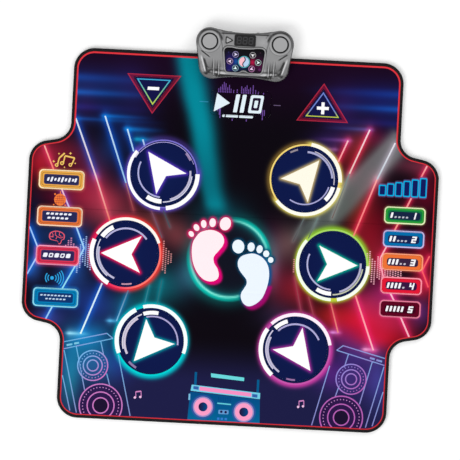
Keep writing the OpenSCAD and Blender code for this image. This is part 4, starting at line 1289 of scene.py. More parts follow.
def sheet(name, outer, holes, shapes, top, bottom, material, pitch, coarse, edge_step,
          fold=None, colour_at=None):
    """Closed thin sheet with a top face top(x, y) and a flat underside at bottom. pitch and
    coarse space the points of the two faces. With colour_at, the top carries a print."""
    x0, y0 = np.min(outer, 0)
    x1, y1 = np.max(outer, 0)
    rim = subdivide(outer, edge_step)
    holes = [subdivide(hole, min(edge_step, 2.2)) for hole in holes]
    shapes = [s for s in shapes
              if s[3][0] < x1 and s[3][2] > x0 and s[3][1] < y1 and s[3][3] > y0]
    cuts = [subdivide(loop, 3.2) for shape in shapes for loop in shape[0]]
    fold_rows = []
    if fold is not None:
        cuts = [refine(loop, fold) for loop in cuts]
        for k in range(-6, 7):
            xs = np.arange(x0 + 1.0, x1 - 0.5, 2.6)
            fold_rows.append(np.stack([xs, np.full(xs.shape, fold + 0.4 * k)], 1))

    def grid(step):
        points = staggered(np.arange(x0 - step / 2, x1 + step, step),
                           np.arange(y0 - step / 2, y1 + step, step), step / 2)
        points = points[inside(points[:, 0], points[:, 1], [outer])]
        return points if fold is None else points[np.abs(points[:, 1] - fold) > 3.0]

    # the fold rows are edges, so no triangle reaches across a row when the sheet bends
    verts, tris = triangulate(grid(pitch), [rim] + holes + cuts, fold_rows, rim, holes)
    # underside from the same boundary
    edges = boundary(tris)
    rim_ids = sorted(set(i for edge in edges for i in edge))
    place = {i: k for k, i in enumerate(rim_ids)}
    under = [verts[rim_ids], grid(coarse)]
    for row in fold_rows:
        row = row[inside(row[:, 0], row[:, 1], [rim])]
        for hole in holes:
            row = row[~inside(row[:, 0], row[:, 1], [hole])]
        borders = [rim] + [h for h in holes if min(p[1] for p in h) < fold + 4
                           and max(p[1] for p in h) > fold - 4]
        gap = np.min([loop_dist(row[:, 0], row[:, 1], loop) for loop in borders], 0)
        under.append(row[gap > 0.25])
    low_verts, low_tris, merged = delaunay(
        np.concatenate(under), [(place[i], place[j]) for i, j in edges], rim, holes, 1e-4, True)
    low_tris = face_up(low_verts, low_tris, 1e-9)
    new_of = {old: new for new, olds in enumerate(merged) for old in olds}
    count = len(verts)
    low_z = np.full(len(low_verts), bottom)
    all_verts = np.concatenate([np.column_stack([verts, top(verts[:, 0], verts[:, 1])]),
                                np.column_stack([low_verts, low_z])]) / 1000.0
    sides = []
    for i, j in edges:
        low_i, low_j = count + new_of[place[i]], count + new_of[place[j]]
        if low_i != low_j:
            sides += [(j, i, low_i), (j, low_i, low_j)]
    faces = np.concatenate([tris, low_tris[:, ::-1] + count, np.array(sides, int)])
    ob = make_mesh(name, all_verts, faces, material)
    if colour_at:
        printed = paint(verts, tris, colour_at(verts[:, 0], verts[:, 1]), shapes)
        plain = np.broadcast_to(linear((12, 12, 14)), ((len(faces) - len(tris)) * 3, 3))
        store_colours(ob.data.color_attributes.new("Print", "FLOAT_COLOR", "CORNER"),
                      np.concatenate([linear(printed.reshape(-1, 3)), plain]))
    ob.data.polygons.foreach_set("use_smooth", np.arange(len(faces)) < len(tris))
    return ob


def store_colours(attribute, colours):
    opaque = np.column_stack([colours, np.ones(len(colours))])
    attribute.data.foreach_set("color", opaque.astype(np.float32).ravel())


# ---------------------------------------------------------------- materials
class Nodes:
    """Short calls that build a node tree; an input may be a value or another node's output."""
    def __init__(self, tree):
        tree.nodes.clear()
        self.tree = tree

    def fill(self, node, inputs):
        for key, value in inputs.items():
            if isinstance(value, bpy.types.NodeSocket):
                self.tree.links.new(value, node.inputs[key])
            else:
                node.inputs[key].default_value = value

    def add(self, kind, inputs=None, **settings):
        node = self.tree.nodes.new("ShaderNode" + kind)
        for key, value in settings.items():
            setattr(node, key, value)
        self.fill(node, inputs or {})
        return node

    def coords(self, output="Object"):
        return self.add("TexCoord").outputs[output]

    def noise(self, coords, scale, detail=2.0):
        inputs = {"Vector": coords, "Scale": scale, "Detail": detail}
        return self.add("TexNoise", inputs).outputs["Fac"]

    def span(self, value, low, high, start=0.0, end=1.0):
        """Maps start..end to low..high."""
        return self.add("MapRange", {"Value": value, "From Min": start, "From Max": end,
                                     "To Min": low, "To Max": high}).outputs[0]

    def calc(self, operation, *values):
        return self.add("Math", dict(enumerate(values)), operation=operation).outputs[0]

    def scaled(self, vector, amount):
        return self.add("VectorMath", {0: vector, "Scale": amount}, operation="SCALE").outputs[0]

    def mix(self, share, first, second):
        return self.add("Mix", {0: share, 6: first, 7: second}, data_type="RGBA").outputs[2]

    def weave(self, coords, pitch):
        """Height of a plain weave with threads pitch metres apart, along x and y."""
        threads = [self.add("TexWave", {"Vector": coords, "Distortion": 0.6, "Detail": 1.0,
                                        "Scale": 1.0 / pitch * 2 * math.pi / 20},
                            bands_direction=axis).outputs["Fac"] for axis in "XY"]
        return self.calc("MAXIMUM", *threads)

    def bump(self, height, strength, distance):
        inputs = {"Height": height, "Strength": strength, "Distance": distance}
        return self.add("Bump", inputs).outputs[0]


def new_material(name):
    material = bpy.data.materials.new(name)
    material.use_nodes = True
    nodes = Nodes(material.node_tree)
    surface = nodes.add("BsdfPrincipled")
    nodes.add("OutputMaterial", {0: surface.outputs[0]})
    return material, nodes, surface


def print_material(name, relief, gloss):
    """Print over a weave; relief is the weave's strength, gloss further surface values."""
    material, nodes, surface = new_material(name)
    colour = nodes.add("VertexColor", layer_name="Print").outputs["Color"]
    coords = nodes.coords()
    weave = nodes.weave(coords, 0.0009)
    grain = nodes.span(nodes.noise(coords, 900.0, 3.0), 0.97, 1.03)
    nodes.fill(surface, {
        "Base Color": nodes.scaled(colour, grain),
        "Roughness": nodes.span(nodes.noise(coords, 7.0, 3.0), 0.52, 0.72),
        "Normal": nodes.bump(weave, relief, 0.00012), **gloss})
    return material


def shell_paint_painted_shade():
    """Metallic grey paint whose base colour is the grey stored on the mesh, painted highlights and painted shade
    included.
    """
    material, nodes, surface = new_material("shell_paint_painted_shade")
    tone = nodes.add("Attribute", attribute_name="PaintedShadeTone").outputs["Color"]
    coords = nodes.coords()
    fine = nodes.noise(coords, 420.0, 4.0)
    broad = nodes.noise(coords, 26.0, 3.0)
    mottle = nodes.calc("MULTIPLY", nodes.span(fine, 0.90, 1.10), nodes.span(broad, 0.94, 1.06))
    nodes.fill(surface, {
        "Base Color": nodes.scaled(tone, mottle), "Roughness": nodes.span(broad, 0.34, 0.50),
        "Metallic": 0.25, "Specular IOR Level": 0.4,
        "Normal": nodes.bump(nodes.noise(coords, 2600.0, 2.0), 0.3, 0.00006)})
    return material


def finish(name, colour, rough, relief, depth=0.0001, grain=600.0, metal=0.0, spec=0.5,
           vary=0.06, scale=60.0, weave=None, edge=None, glow=None):
    """Moulded, metal or woven finish. vary and scale set the colour's unevenness; relief, depth
    and grain (or the weave's pitch) the bumps; edge is a paler colour on worn edges and glow
    the emitted strength and colour."""
    material, nodes, surface = new_material(name)
    coords = nodes.coords()
    middle = linear(colour)
    low, high = (np.clip(middle * (1 + sign * vary), 0, 1) for sign in (-1, 1))
    base = nodes.mix(nodes.noise(coords, scale, 4.0), (*low, 1), (*high, 1))
    if edge is not None:
        worn = nodes.span(nodes.add("NewGeometry").outputs["Pointiness"], 0.0, 1.0, 0.52, 0.60)
        base = nodes.mix(nodes.calc("MULTIPLY", worn, 0.35), base, rgba(edge))
    height = nodes.weave(coords, weave) if weave else nodes.noise(coords, grain, 2.0)
    nodes.fill(surface, {
        "Base Color": base,
        "Roughness": nodes.span(nodes.noise(coords, scale * 3.1, 5.0),
                                max(0.02, rough - 0.08), min(1, rough + 0.08)),
        "Metallic": metal, "Specular IOR Level": spec,
        "Normal": nodes.bump(height, relief, depth)})
    if glow:
        nodes.fill(surface, {"Emission Strength": glow[0], "Emission Color": rgba(glow[1])})
    return material


def cell_material():
    """Dark cell jackets with a copper band at the button end, which differs from row to row."""
    material, nodes, surface = new_material("cell_jacket")
    coords = nodes.coords()
    axes = nodes.add("SeparateXYZ", {0: coords}).outputs
    back_row = nodes.calc("GREATER_THAN", axes[1], 0.4399)
    off_middle = nodes.calc("ABSOLUTE", nodes.calc("ADD", axes[0], -BOX_X / 1000))
    far = nodes.calc("GREATER_THAN", off_middle, 0.0412)
    near = nodes.calc("LESS_THAN", off_middle, 0.0140)
    copper = nodes.add("Mix", {0: back_row, 2: far, 3: near}, data_type="FLOAT").outputs[0]
    nodes.fill(surface, {
        "Base Color": nodes.mix(copper, rgba((26, 27, 34)), rgba((198, 148, 66))),
        "Roughness": nodes.span(nodes.noise(coords, 300.0), 0.2, 0.4), "Metallic": 0.5})
    return material


PRINT = print_material("printed_cloth", 0.22, {"Specular IOR Level": 0.03})
GLOSS = print_material("printed_gloss", 0.03, {"Specular IOR Level": 0.10, "Coat Weight": 0.04,
                                               "Coat Roughness": 0.12})
PAINT = shell_paint_painted_shade()
TAPE = finish("binding_tape", (13, 12, 15), rough=0.72, relief=0.7, depth=0.00018, spec=0.18,
              vary=0.25, scale=220, weave=0.0011)
THREAD = finish("stitch_thread", (34, 33, 37), rough=0.6, relief=0.6, grain=4000, spec=0.3,
                vary=0.2, scale=900)
GRIP_CLOTH = finish("grip_cloth", (24, 24, 27), rough=0.78, relief=0.6, depth=0.0002, spec=0.2,
                    vary=0.2, scale=90, weave=0.0014)
GRIP_DOTS = finish("grip_dots", (38, 38, 42), rough=0.5, relief=0.3, spec=0.4, vary=0.12,
                   scale=300)
FOAM = finish("foam_sheet", (226, 224, 214), rough=0.9, relief=0.8, depth=0.0004, grain=1800,
              spec=0.15, vary=0.05, scale=400)
SILVER_FILM = finish("film_silver", (176, 182, 184), rough=0.35, relief=0.15, grain=300,
                     vary=0.10, scale=40)
CLEAR_FILM = finish("film_clear", (196, 204, 206), rough=0.28, relief=0.15, grain=300,
                    vary=0.05, scale=40)
SHELL_BASE = finish("shell_base_grey", (108, 109, 112), rough=0.5, relief=0.3, depth=0.00006,
                    grain=2600, spec=0.4, vary=0.04, scale=25, edge=(150, 150, 152))
BUTTON_GREY = finish("button_grey", (163, 163, 164), rough=0.36, relief=0.22, depth=0.00005,
                     grain=2600, vary=0.03, scale=25, edge=(196, 196, 197))
# dark material for the keys' lower faces: painted shade in the wells round the keys
WELL_SHADE = finish("well_painted_shade", (30, 30, 32), rough=0.6, relief=0.4, grain=2600, spec=0.25,
                vary=0.15, scale=300)
DARK = finish("dark_plastic", (24, 24, 26), rough=0.4, relief=0.25, grain=2400, spec=0.45,
              vary=0.08, edge=(60, 60, 64))
NICKEL = finish("nickel", (196, 197, 200), rough=0.22, relief=0.2, grain=1500, metal=1.0,
                vary=0.05, scale=120)
STEEL = finish("screw_steel", (150, 150, 154), rough=0.3, relief=0.3, grain=3000, metal=1.0,
               vary=0.08, scale=400)
BOARD = finish("circuit_board", (22, 92, 52), rough=0.4, relief=0.5, grain=900, vary=0.25,
               scale=320)
CONE = finish("cone_paper", (26, 26, 29), rough=0.8, relief=0.5, grain=2500, spec=0.2, vary=0.2,
              scale=500)
CABLE = finish("flat_cable", (196, 132, 60), rough=0.35, relief=0.3, spec=0.4, scale=200,
               weave=0.0012)
LENS = finish("light_lens", (250, 244, 220), rough=0.25, relief=0.1, vary=0.02, scale=100,
              glow=(0.4, (255, 246, 220)))
STRIP = finish("light_strip", (226, 224, 214), rough=0.4, relief=0.3, spec=0.4, scale=300,
               glow=(0.05, (255, 250, 230)))

for piece_material, pieces in (
        (SILVER_FILM, ("contact_film_back", "contact_film_middle", "contact_film_front")),
        (FOAM, ("foam_back", "foam_middle", "foam_front")),
        (CLEAR_FILM, ("top_film_back", "top_film_middle", "top_film_front")),
        (STRIP, ("ring_lights_back", "ring_lights_middle", "ring_lights_front")),
        (SHELL_BASE, ("box_bottom_shell", "battery_door")), (cell_material(), ("batteries",)),
        (NICKEL, ("battery_springs", "battery_plates")), (BOARD, ("main_board",)),
        (DARK, ("display_module", "speaker", "power_switch_knob", "aux_socket", "key_switches")),
        (LENS, ("cue_lights",)), (CONE, ("speaker_cone",)), (STEEL, ("shell_screws",)),
        (CABLE, ("flat_cable",))):
    for piece in pieces:
        slots = frame["nodes"][piece].data.materials
        slots.clear()
        slots.append(piece_material)


# ---------------------------------------------------------------- ties to the frame
def bend(ob, name, slot, replaced=None):
    """Ties a piece to one half of the folding mat; replaced is the start of its old names."""
    half = HALVES[name]
    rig.blend(ob, *half.panels, **half.line)
    if replaced:
        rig.replaces(ob, *(replaced + part for part in half.parts))
    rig.slot(ob, slot)


def mount(ob, carrier, replaced, slot):
    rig.ride(ob, carrier)
    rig.replaces(ob, replaced)
    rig.slot(ob, slot)


# ---------------------------------------------------------------- printed cover and pads
def key_loops(centre, size, radius):
    """Key face and the slightly larger hole it sits in."""
    width, height = size
    return (rounded_rect(*centre, width - 0.4, height - 0.4, radius - 0.2),
            rounded_rect(*centre, width, height, radius))


def list_keys():
    """Every pad and key: face loop, hole loop, slot."""
    keys = {name: (dot(*centre, PAD_R, 120), dot(*centre, PAD_HOLE_R, 120), "step_pad")
            for name, centre in PADS.items()}
    for kind, places, size, radius in (("mode", MODES, MODE_SIZE, 7.5),
                                       ("level", LEVELS, LEVEL_SIZE, 6.5)):
        for i, (slot, centre) in enumerate(places.items(), 1):
            keys["%s_pad_%d" % (kind, i)] = (*key_loops(centre, size, radius), slot)
    keys["start_pad"] = (*key_loops(START, START_SIZE, 8.5), "start_pad")
    for name, corners in (("minus_pad", MINUS), ("plus_pad", PLUS)):
        keys[name] = (round_triangle(grow(corners, 1.026), 6),
                      round_triangle(grow(corners, 1.035), 6), "menu_pad")
    return keys


KEYS = list_keys()
BACK_KEYS = ["step_pad_back_left", "step_pad_back_right", "start_pad", "minus_pad", "plus_pad",
             "mode_pad_1", "level_pad_1"]
KEY_AREAS = ([(c, MODE_SIZE) for c in MODES.values()] + [(c, LEVEL_SIZE) for c in LEVELS.values()]
             + [(START, START_SIZE)] + [(c, TRIANGLE_SIZE) for c in TRIANGLE_SPOTS])
COARSE_EDGE = subdivide(mat_outline(0), 12.0)


def cover_top(x, y):
    dist = loop_dist(x, y, COARSE_EDGE)
    z = MAT_TOP - 0.75 * fade(np.maximum(dist - 5.0, 0), 3.2)
    # puckers beside the seam of the binding
    z += 0.16 * np.sin(np.arctan2(y, x) * 420 / 2.6) * bell(dist - 11, 4.5)
    calm = np.ones(x.shape)
    for cx, cy in PADS.values():
        radius = np.hypot(x - cx, y - cy)
        calm *= ramp(74, 105, radius)
        z += 0.28 * bell(radius - 77.6, 3.4, 4)     # the ring-light strip shows as a ridge
        z -= 0.35 * fade(np.maximum(radius - PAD_HOLE_R, 0), 0.9)
    for centre, (width, height) in KEY_AREAS:
        calm *= ramp(0, 30, rect_dist(x, y, *centre, width / 2, height / 2))
    # slow, shallow unevenness of a padded cloth that has been folded
    waves = (0.16 * np.sin(x / 47 + 1.3 * np.sin(y / 71)) * np.sin(y / 53 + 0.9 * np.sin(x / 83))
             + 0.07 * np.sin(x / 19 + y / 27) * np.sin(y / 21 - x / 33))
    z += waves * calm * 1.6
    for fold in (FOLD_BACK, FOLD_FRONT):
        z -= 0.22 * bell(y - fold, 2.4)
    # no higher than the mat's top where the control box grips it
    return np.where((np.abs(x - BOX_X) < 108) & (y > 360), np.minimum(z, MAT_TOP), z)


def pad_top(loop):
    def top(x, y):
        dist = loop_dist(x, y, loop)
        return MAT_TOP + 0.12 * ramp(0, 14, dist) - 0.42 * fade(dist, 0.8)
    return top


def make_covers():
    outline = subdivide(mat_outline(5.2), 2.5)
    holes = {"back": BACK_KEYS, "front": [name for name in KEYS if name not in BACK_KEYS]}
    for name, half in HALVES.items():
        ob = sheet("printed_cover_" + name,
                   refine(clip_y(outline, SEAM, half.behind), half.fold),
                   [KEYS[key][1] for key in holes[name]], MAT_SHAPES, cover_top, 7.0, PRINT,
                   pitch=3.0, coarse=12.0, edge_step=2.5, fold=half.fold, colour_at=mat_colour)
        bend(ob, name, "printed_cover", "cover_")


def make_pads():
    for name, (face, _, slot) in KEYS.items():
        colour_at = pad_colour(RINGS[name]) if name in RINGS else mat_colour
        ob = sheet("printed_" + name, face, [], MAT_SHAPES, pad_top(face), 6.75, PRINT,
                   pitch=2.0, coarse=8.0, edge_step=1.8, colour_at=colour_at)
        mount(ob, name, name, slot)


# ---------------------------------------------------------------- edge binding
# Section of the folded tape, (inset, z): the outer skin from the lower lip round the mat's edge
# to the upper lip, and the inner skin in the same order.
TAPE_OUTER = [(6.5, 0.25), (5.2, 0.05), (3.4, 0.0), (1.7, 0.15), (0.55, 0.75), (0.05, 1.9),
              (-0.1, 4.1), (0.05, 6.3), (0.55, 7.6), (1.7, 8.45), (3.4, 8.72), (5.2, 8.55),
              (6.3, 8.25), (6.6, 7.95)]
TAPE_INNER = [(6.4, 0.85), (5.2, 0.95), (3.4, 1.0), (2.1, 1.15), (1.35, 1.6), (1.05, 2.5),
              (0.95, 4.1), (1.05, 5.7), (1.35, 6.6), (2.1, 7.05), (3.4, 7.2), (5.2, 7.15),
              (6.2, 7.3), (6.45, 7.5)]
EDGE = refine(refine(subdivide(mat_outline(0), 3.2), FOLD_BACK), FOLD_FRONT)


def edge_path(start, end):
    """Anticlockwise run of the mat's edge from start to end, with both ends exact."""
    first, last = (min(range(len(EDGE)), key=lambda i: (EDGE[i][0] - p[0]) ** 2
                       + (EDGE[i][1] - p[1]) ** 2) for p in (start, end))
    count = (last - first) % len(EDGE) + 1
    path = [EDGE[(first + i) % len(EDGE)] for i in range(count)]
    path[0], path[-1] = start, end
    return np.array(path, float)


# the back half's binding leaves a gap for the control box
BINDING_PATHS = {
    "back": [edge_path((HALF_WIDTH, SEAM), (95, HALF_DEPTH)),
             edge_path((-75, HALF_DEPTH), (-HALF_WIDTH, SEAM))],
    "front": [edge_path((-HALF_WIDTH, SEAM), (HALF_WIDTH, SEAM))]}


def path_lengths(points):
    return np.concatenate([[0], np.cumsum(np.linalg.norm(np.diff(points, axis=0), axis=1))])


def tape_wobble(run, off, z):
    """Slight waviness of the tape's upper side."""
    upper = max(0.0, (z - 6.8) / 1.9)
    pucker = 0.10 * math.sin(run / 2.25) * math.exp(-((off - 4.2) / 1.8) ** 2)
    return (off + 0.10 * math.sin(run / 9.0) * upper * (off > 3),
            z + upper * (pucker + 0.05 * math.sin(run / 31)))


def make_binding(name, paths):
    """The tape's section carried along each path."""
    profile = TAPE_OUTER + TAPE_INNER[::-1]
    size = len(profile)
    verts, faces = [], []
    for path in paths:
        normals, runs = path_normals(path), path_lengths(path)
        first = len(verts)
        for point, normal, run in zip(path, normals, runs):
            for off, z in profile:
                off, z = tape_wobble(run, off, z)
                x, y = point + normal * off
                verts.append((x / 1000, y / 1000, z / 1000))
        for i in range(len(path) - 1):
            for j in range(size):
                a, b = first + i * size + j, first + i * size + (j + 1) % size
                faces.append((a, b, b + size, a + size))
        # the section is a thin bent strip, so each end is closed by quads across it
        for end, forward in ((first, True), (first + (len(path) - 1) * size, False)):
            for j in range(size // 2 - 1):
                quad = (end + j, end + j + 1, end + size - 2 - j, end + size - 1 - j)
                faces.append(quad if forward else quad[::-1])
    ob = make_mesh("edge_binding_" + name, verts, faces, TAPE, smooth=True)
    face_outward(ob)
    bend(ob, name, "edge_binding", "binding_")


STITCH_INSET, STITCH_Z, STITCH_PITCH, STITCH_LENGTH, STITCH_R = 4.6, 8.64, 4.2, 3.0, 0.34
# along one stitch: share of its length, height, share of its radius
STITCH_STATIONS = ((0, -0.30, 0.4), (0.18, 0.05, 0.9), (0.5, 0.16, 1.0), (0.82, 0.05, 0.9),
                   (1, -0.30, 0.4))


def make_stitches(name, paths):
    """A row of short threads that dip into the tape at both ends."""
    verts, faces = [], []
    for path in paths:
        line = path + path_normals(path) * STITCH_INSET
        runs = path_lengths(line)

        def at(run):
            return np.interp(run, runs, line[:, 0]), np.interp(run, runs, line[:, 1])

        start = 2.0
        while start + STITCH_LENGTH < runs[-1]:
            first = len(verts)
            for share, rise, girth in STITCH_STATIONS:
                x, y = at(start + share * STITCH_LENGTH)
                next_x, next_y = at(start + share * STITCH_LENGTH + 0.2)
                length = math.hypot(next_x - x, next_y - y) or 1
                nx, ny = -(next_y - y) / length, (next_x - x) / length
                for k in range(5):
                    angle = 2 * math.pi * k / 5 + 0.3
                    across = STITCH_R * girth * math.cos(angle)
                    z = STITCH_Z + rise + STITCH_R * girth * math.sin(angle)
                    verts.append(((x + nx * across) / 1000, (y + ny * across) / 1000, z / 1000))
            for m in range(4):
                for k in range(5):
                    a, b = first + m * 5 + k, first + m * 5 + (k + 1) % 5
                    faces.append((a, a + 5, b + 5, b))
            faces.append(tuple(first + k for k in range(5)))
            faces.append(tuple(first + 20 + k for k in (4, 3, 2, 1, 0)))
            start += STITCH_PITCH
    ob = make_mesh("stitching_" + name, verts, faces, THREAD, smooth=True)
    face_outward(ob)
    bend(ob, name, "edge_binding")


# ---------------------------------------------------------------- base cloth and grip dots
BASE_OUTLINE = subdivide(mat_outline(6.3), 4.0)


def make_base(name, half):
    ob = sheet("grip_cloth_" + name, refine(clip_y(BASE_OUTLINE, SEAM, half.behind), half.fold),
               [dot(*c, CLAMP_HOLE_R, 20) for c in CLAMP_HOLES] if half.behind else [], [],
               lambda x, y: np.full(x.shape, 1.15), 0.38, GRIP_CLOTH, pitch=9.0, coarse=9.0,
               edge_step=6.0, fold=half.fold)
    bend(ob, name, "base_cloth", "base_cloth_")


def make_grip_dots(name, half):
    """Low domes under the base cloth."""
    region = clip_y(BASE_OUTLINE, SEAM, half.behind)
    spots = staggered(np.arange(-456, 457, 15.0), np.arange(-408, 412, 13.0), 7.5)
    x, y = spots.T
    keep = (inside(x, y, [region]) & (loop_dist(x, y, region) > 6)
            & (np.abs(y - half.fold) > 6))
    for cx, cy in CLAMP_HOLES:
        keep &= np.hypot(x - cx, y - cy) > 7
    sides = 8
    verts, faces = [], []
    for cx, cy in spots[keep]:
        first = len(verts)
        for radius, z in ((2.6, 0.45), (2.3, 0.16), (1.5, 0.02)):
            verts += [(px / 1000, py / 1000, z / 1000) for px, py in dot(cx, cy, radius, sides)]
        verts.append((cx / 1000, cy / 1000, 0))
        for m in range(2):
            for k in range(sides):
                a, b = first + m * sides + k, first + m * sides + (k + 1) % sides
                faces.append((a, a + sides, b + sides, b))
        inner, tip = first + 2 * sides, first + 3 * sides
        faces += [(inner + k, tip, inner + (k + 1) % sides) for k in range(sides)]
        faces.append(tuple(first + k for k in range(sides)))
    bend(make_mesh("grip_dots_" + name, verts, faces, GRIP_DOTS, smooth=True), name, "base_cloth")


# ---------------------------------------------------------------- control box shell
def box_outline():
    """Box outline: hollowed front and back edges between round corners, all tangent."""
    (ear_x, ear_y), (low_x, low_y) = BOX_EAR, BOX_LOW
    front_gap, back_gap = low_y - BOX_FRONT, BOX_BACK - ear_y
    front_r = (low_x ** 2 + front_gap ** 2 - BOX_LOW_R ** 2) / (2 * (BOX_LOW_R - front_gap))
    back_r = (ear_x ** 2 + back_gap ** 2 - BOX_EAR_R ** 2) / (2 * (BOX_EAR_R - back_gap))
    side = (math.degrees(math.atan2(ear_y - low_y, ear_x - low_x))
            - math.degrees(math.acos((BOX_LOW_R - BOX_EAR_R)
                                     / math.hypot(ear_x - low_x, ear_y - low_y))))
    low = math.degrees(math.atan2(BOX_FRONT - front_r - low_y, -low_x)) + 360
    ear = math.degrees(math.atan2(BOX_BACK + back_r - ear_y, -ear_x))
    back = math.degrees(math.atan2(ear_y - BOX_BACK - back_r, ear_x))
    step = 1.4
    right = (arc(0, BOX_FRONT - front_r, front_r, 90, low - 180, step)[:-1]
             + arc(low_x, low_y, BOX_LOW_R, low, side + 360, step)
             + arc(ear_x, ear_y, BOX_EAR_R, side, ear, step)[:-1]
             + arc(0, BOX_BACK + back_r, back_r, back, -90, step))
    full = right + [(-x, y) for x, y in reversed(right) if abs(x) > 1e-6]
    return [(x + BOX_X, y) for x, y in subdivide(full, step)]


BOX = box_outline()
BOX_SPARSE = BOX[::2]
LABEL = [(x + BOX_X, y) for x, y in
         arc(37.5, 427.5, 8, 0, 90, 1.2)
         + [(30, 435.6), (25, 435.2), (20, 434.0), (14, 433.4), (0, 433.2), (-14, 433.4),
            (-20, 434.0), (-25, 435.2), (-30, 435.6)]
         + arc(-37.5, 427.5, 8, 90, 180, 1.2) + arc(-34, 388.5, 7, 180, 270, 1.2)
         + [(-14, 381.6), (-10, 382.6), (-5, 385.4), (0, 386.2), (5, 385.4), (10, 382.6),
            (14, 381.6)]
         + arc(34, 388.5, 7, 270, 360, 1.2)]
WINDOW = rounded_rect(BOX_X, WINDOW_Y, 47.6, 25.2, 3.3)
PLAY_HOLE = round_triangle(grow(PLAY, 1.12), 2)
# lines on each flank, measured outward from BOX_X
CREASE = ((99, 427), (76, 411))         # from the wing to the front corner
FLANK_RIDGE = ((98.5, 418), (86, 378))


def box_measures(x, y):
    """Offset from the middle, its size, distance from the outline, gap from the front edge."""
    across = x - BOX_X
    off = np.abs(across)
    return across, off, loop_dist(x, y, BOX_SPARSE), y - (BOX_FRONT + off ** 2 * 0.0006)


def ear_polar(out, y):
    """Radius and angle about a button: 0 outward, 90 back, 180 towards the middle."""
    return (np.hypot(out - BUTTON_OFF, y - BUTTON_Y),
            np.degrees(np.arctan2(y - BUTTON_Y, out - BUTTON_OFF)))


def box_height(x, y):
    """Height of the top shell's outer face."""
    across, off, dist, front = box_measures(x, y)
    z = np.full(x.shape, 33.4)
    # rounded edge, wider round the front corners
    round_r = 4.6 + 6.0 * ramp(425, 380, y) * ramp(55, 85, off)
    depth = np.clip(1 - dist / round_r, 0, 1)
    z -= round_r * 0.85 * (1 - np.sqrt(np.clip(1 - depth * depth, 0, 1)))
    # slope along the back edge, between the ears, with a groove in front of it
    middle = ramp(60, 46, off)
    z -= 3.4 * ramp(467.5, 472.0, y) * middle
    z -= 1.1 * bell(y - 467.6, 0.9) * middle
    # front lip: a valley, a rolled ridge, then a steep front edge
    lip = ramp(88, 76, off)
    z -= 2.6 * bell(front - 11.5, 3.4) * lip
    z += 0.9 * bell(front - 5.0, 2.2) * lip
    z -= 3.4 * ramp(3.0, 0.4, front) * lip
    for side in (-1, 1):
        out = across * side
        # ear: collar round the button, a groove, then a sloped shoulder behind and outside
        radius, angle = ear_polar(out, y)
        upper = ramp(-25, 10, angle) * ramp(176, 150, angle)
        z += 0.75 * bell(radius - 21.6, 2.7, 4)
        z -= 4.6 * ramp(24.4, 31, radius) * upper * ramp(38, 32.5, radius)
        z -= 1.3 * bell(radius - 25.4, 1.0) * upper
        z -= 1.6 * bell(radius - 29.0, 1.6) * ramp(60, 90, angle) * ramp(172, 150, angle)
        z -= 1.4 * fade(np.maximum(radius - 18.8, 0), 0.9)      # rolled lip of the well
        # flank: crease, slope beyond it towards the front corner, ridge and valley
        gap, share = seg_dist(out, y, *CREASE)
        z -= 2.6 * bell(gap, 1.6) * ramp(-0.05, 0.2, share) * ramp(1.05, 0.7, share)
        beyond = (out - 76) * 0.57 + (y - 411) * 0.82
        z -= 2.8 * ramp(3, -22, beyond) * ramp(52, 78, out)
        gap, share = seg_dist(out, y, *FLANK_RIDGE)
        z += 3.0 * bell(gap, 2.2) * ramp(-0.1, 0.15, share) * ramp(1.05, 0.9, share)
        gap, share = seg_dist(out, y, (93.0, 412), (79.5, 381))
        z -= 2.2 * bell(gap, 2.6) * ramp(-0.1, 0.2, share)
        # two ribs running back from the front edge, each with valleys beside it
        for rib_x, end in ((56.5, 408), (68.0, 412)):
            gap = out - rib_x - 0.03 * (y - 390)
            run = ramp(end, end - 18, y)
            z += 1.7 * bell(gap, 1.1) * run * ramp(371.5, 374, y)
            z -= 1.1 * bell(gap - 2.8, 1.4) * run
            z -= 0.6 * bell(gap + 2.8, 1.4) * run
        # shallow groove from the ear's collar towards the label
        gap, _ = seg_dist(out, y, (58, 466), (48, 428))
        z -= 0.9 * bell(gap, 1.4)
        z += 0.4 * bell(gap - 3.2, 1.4)
    # raised bezel round the label, with a valley outside it
    gap = loop_dist(x, y, LABEL)
    z += 1.1 * bell(gap - 1.9, 1.3)
    z -= 1.2 * bell(gap - 4.7, 1.2) * (0.4 + 0.6 * ramp(400, 430, y))
    z -= 0.9 * fade(gap, 0.5)
    for loop in (WINDOW, PLAY_HOLE):
        z -= 0.6 * fade(loop_dist(x, y, loop), 0.6)
    return np.minimum(z, 34.6)


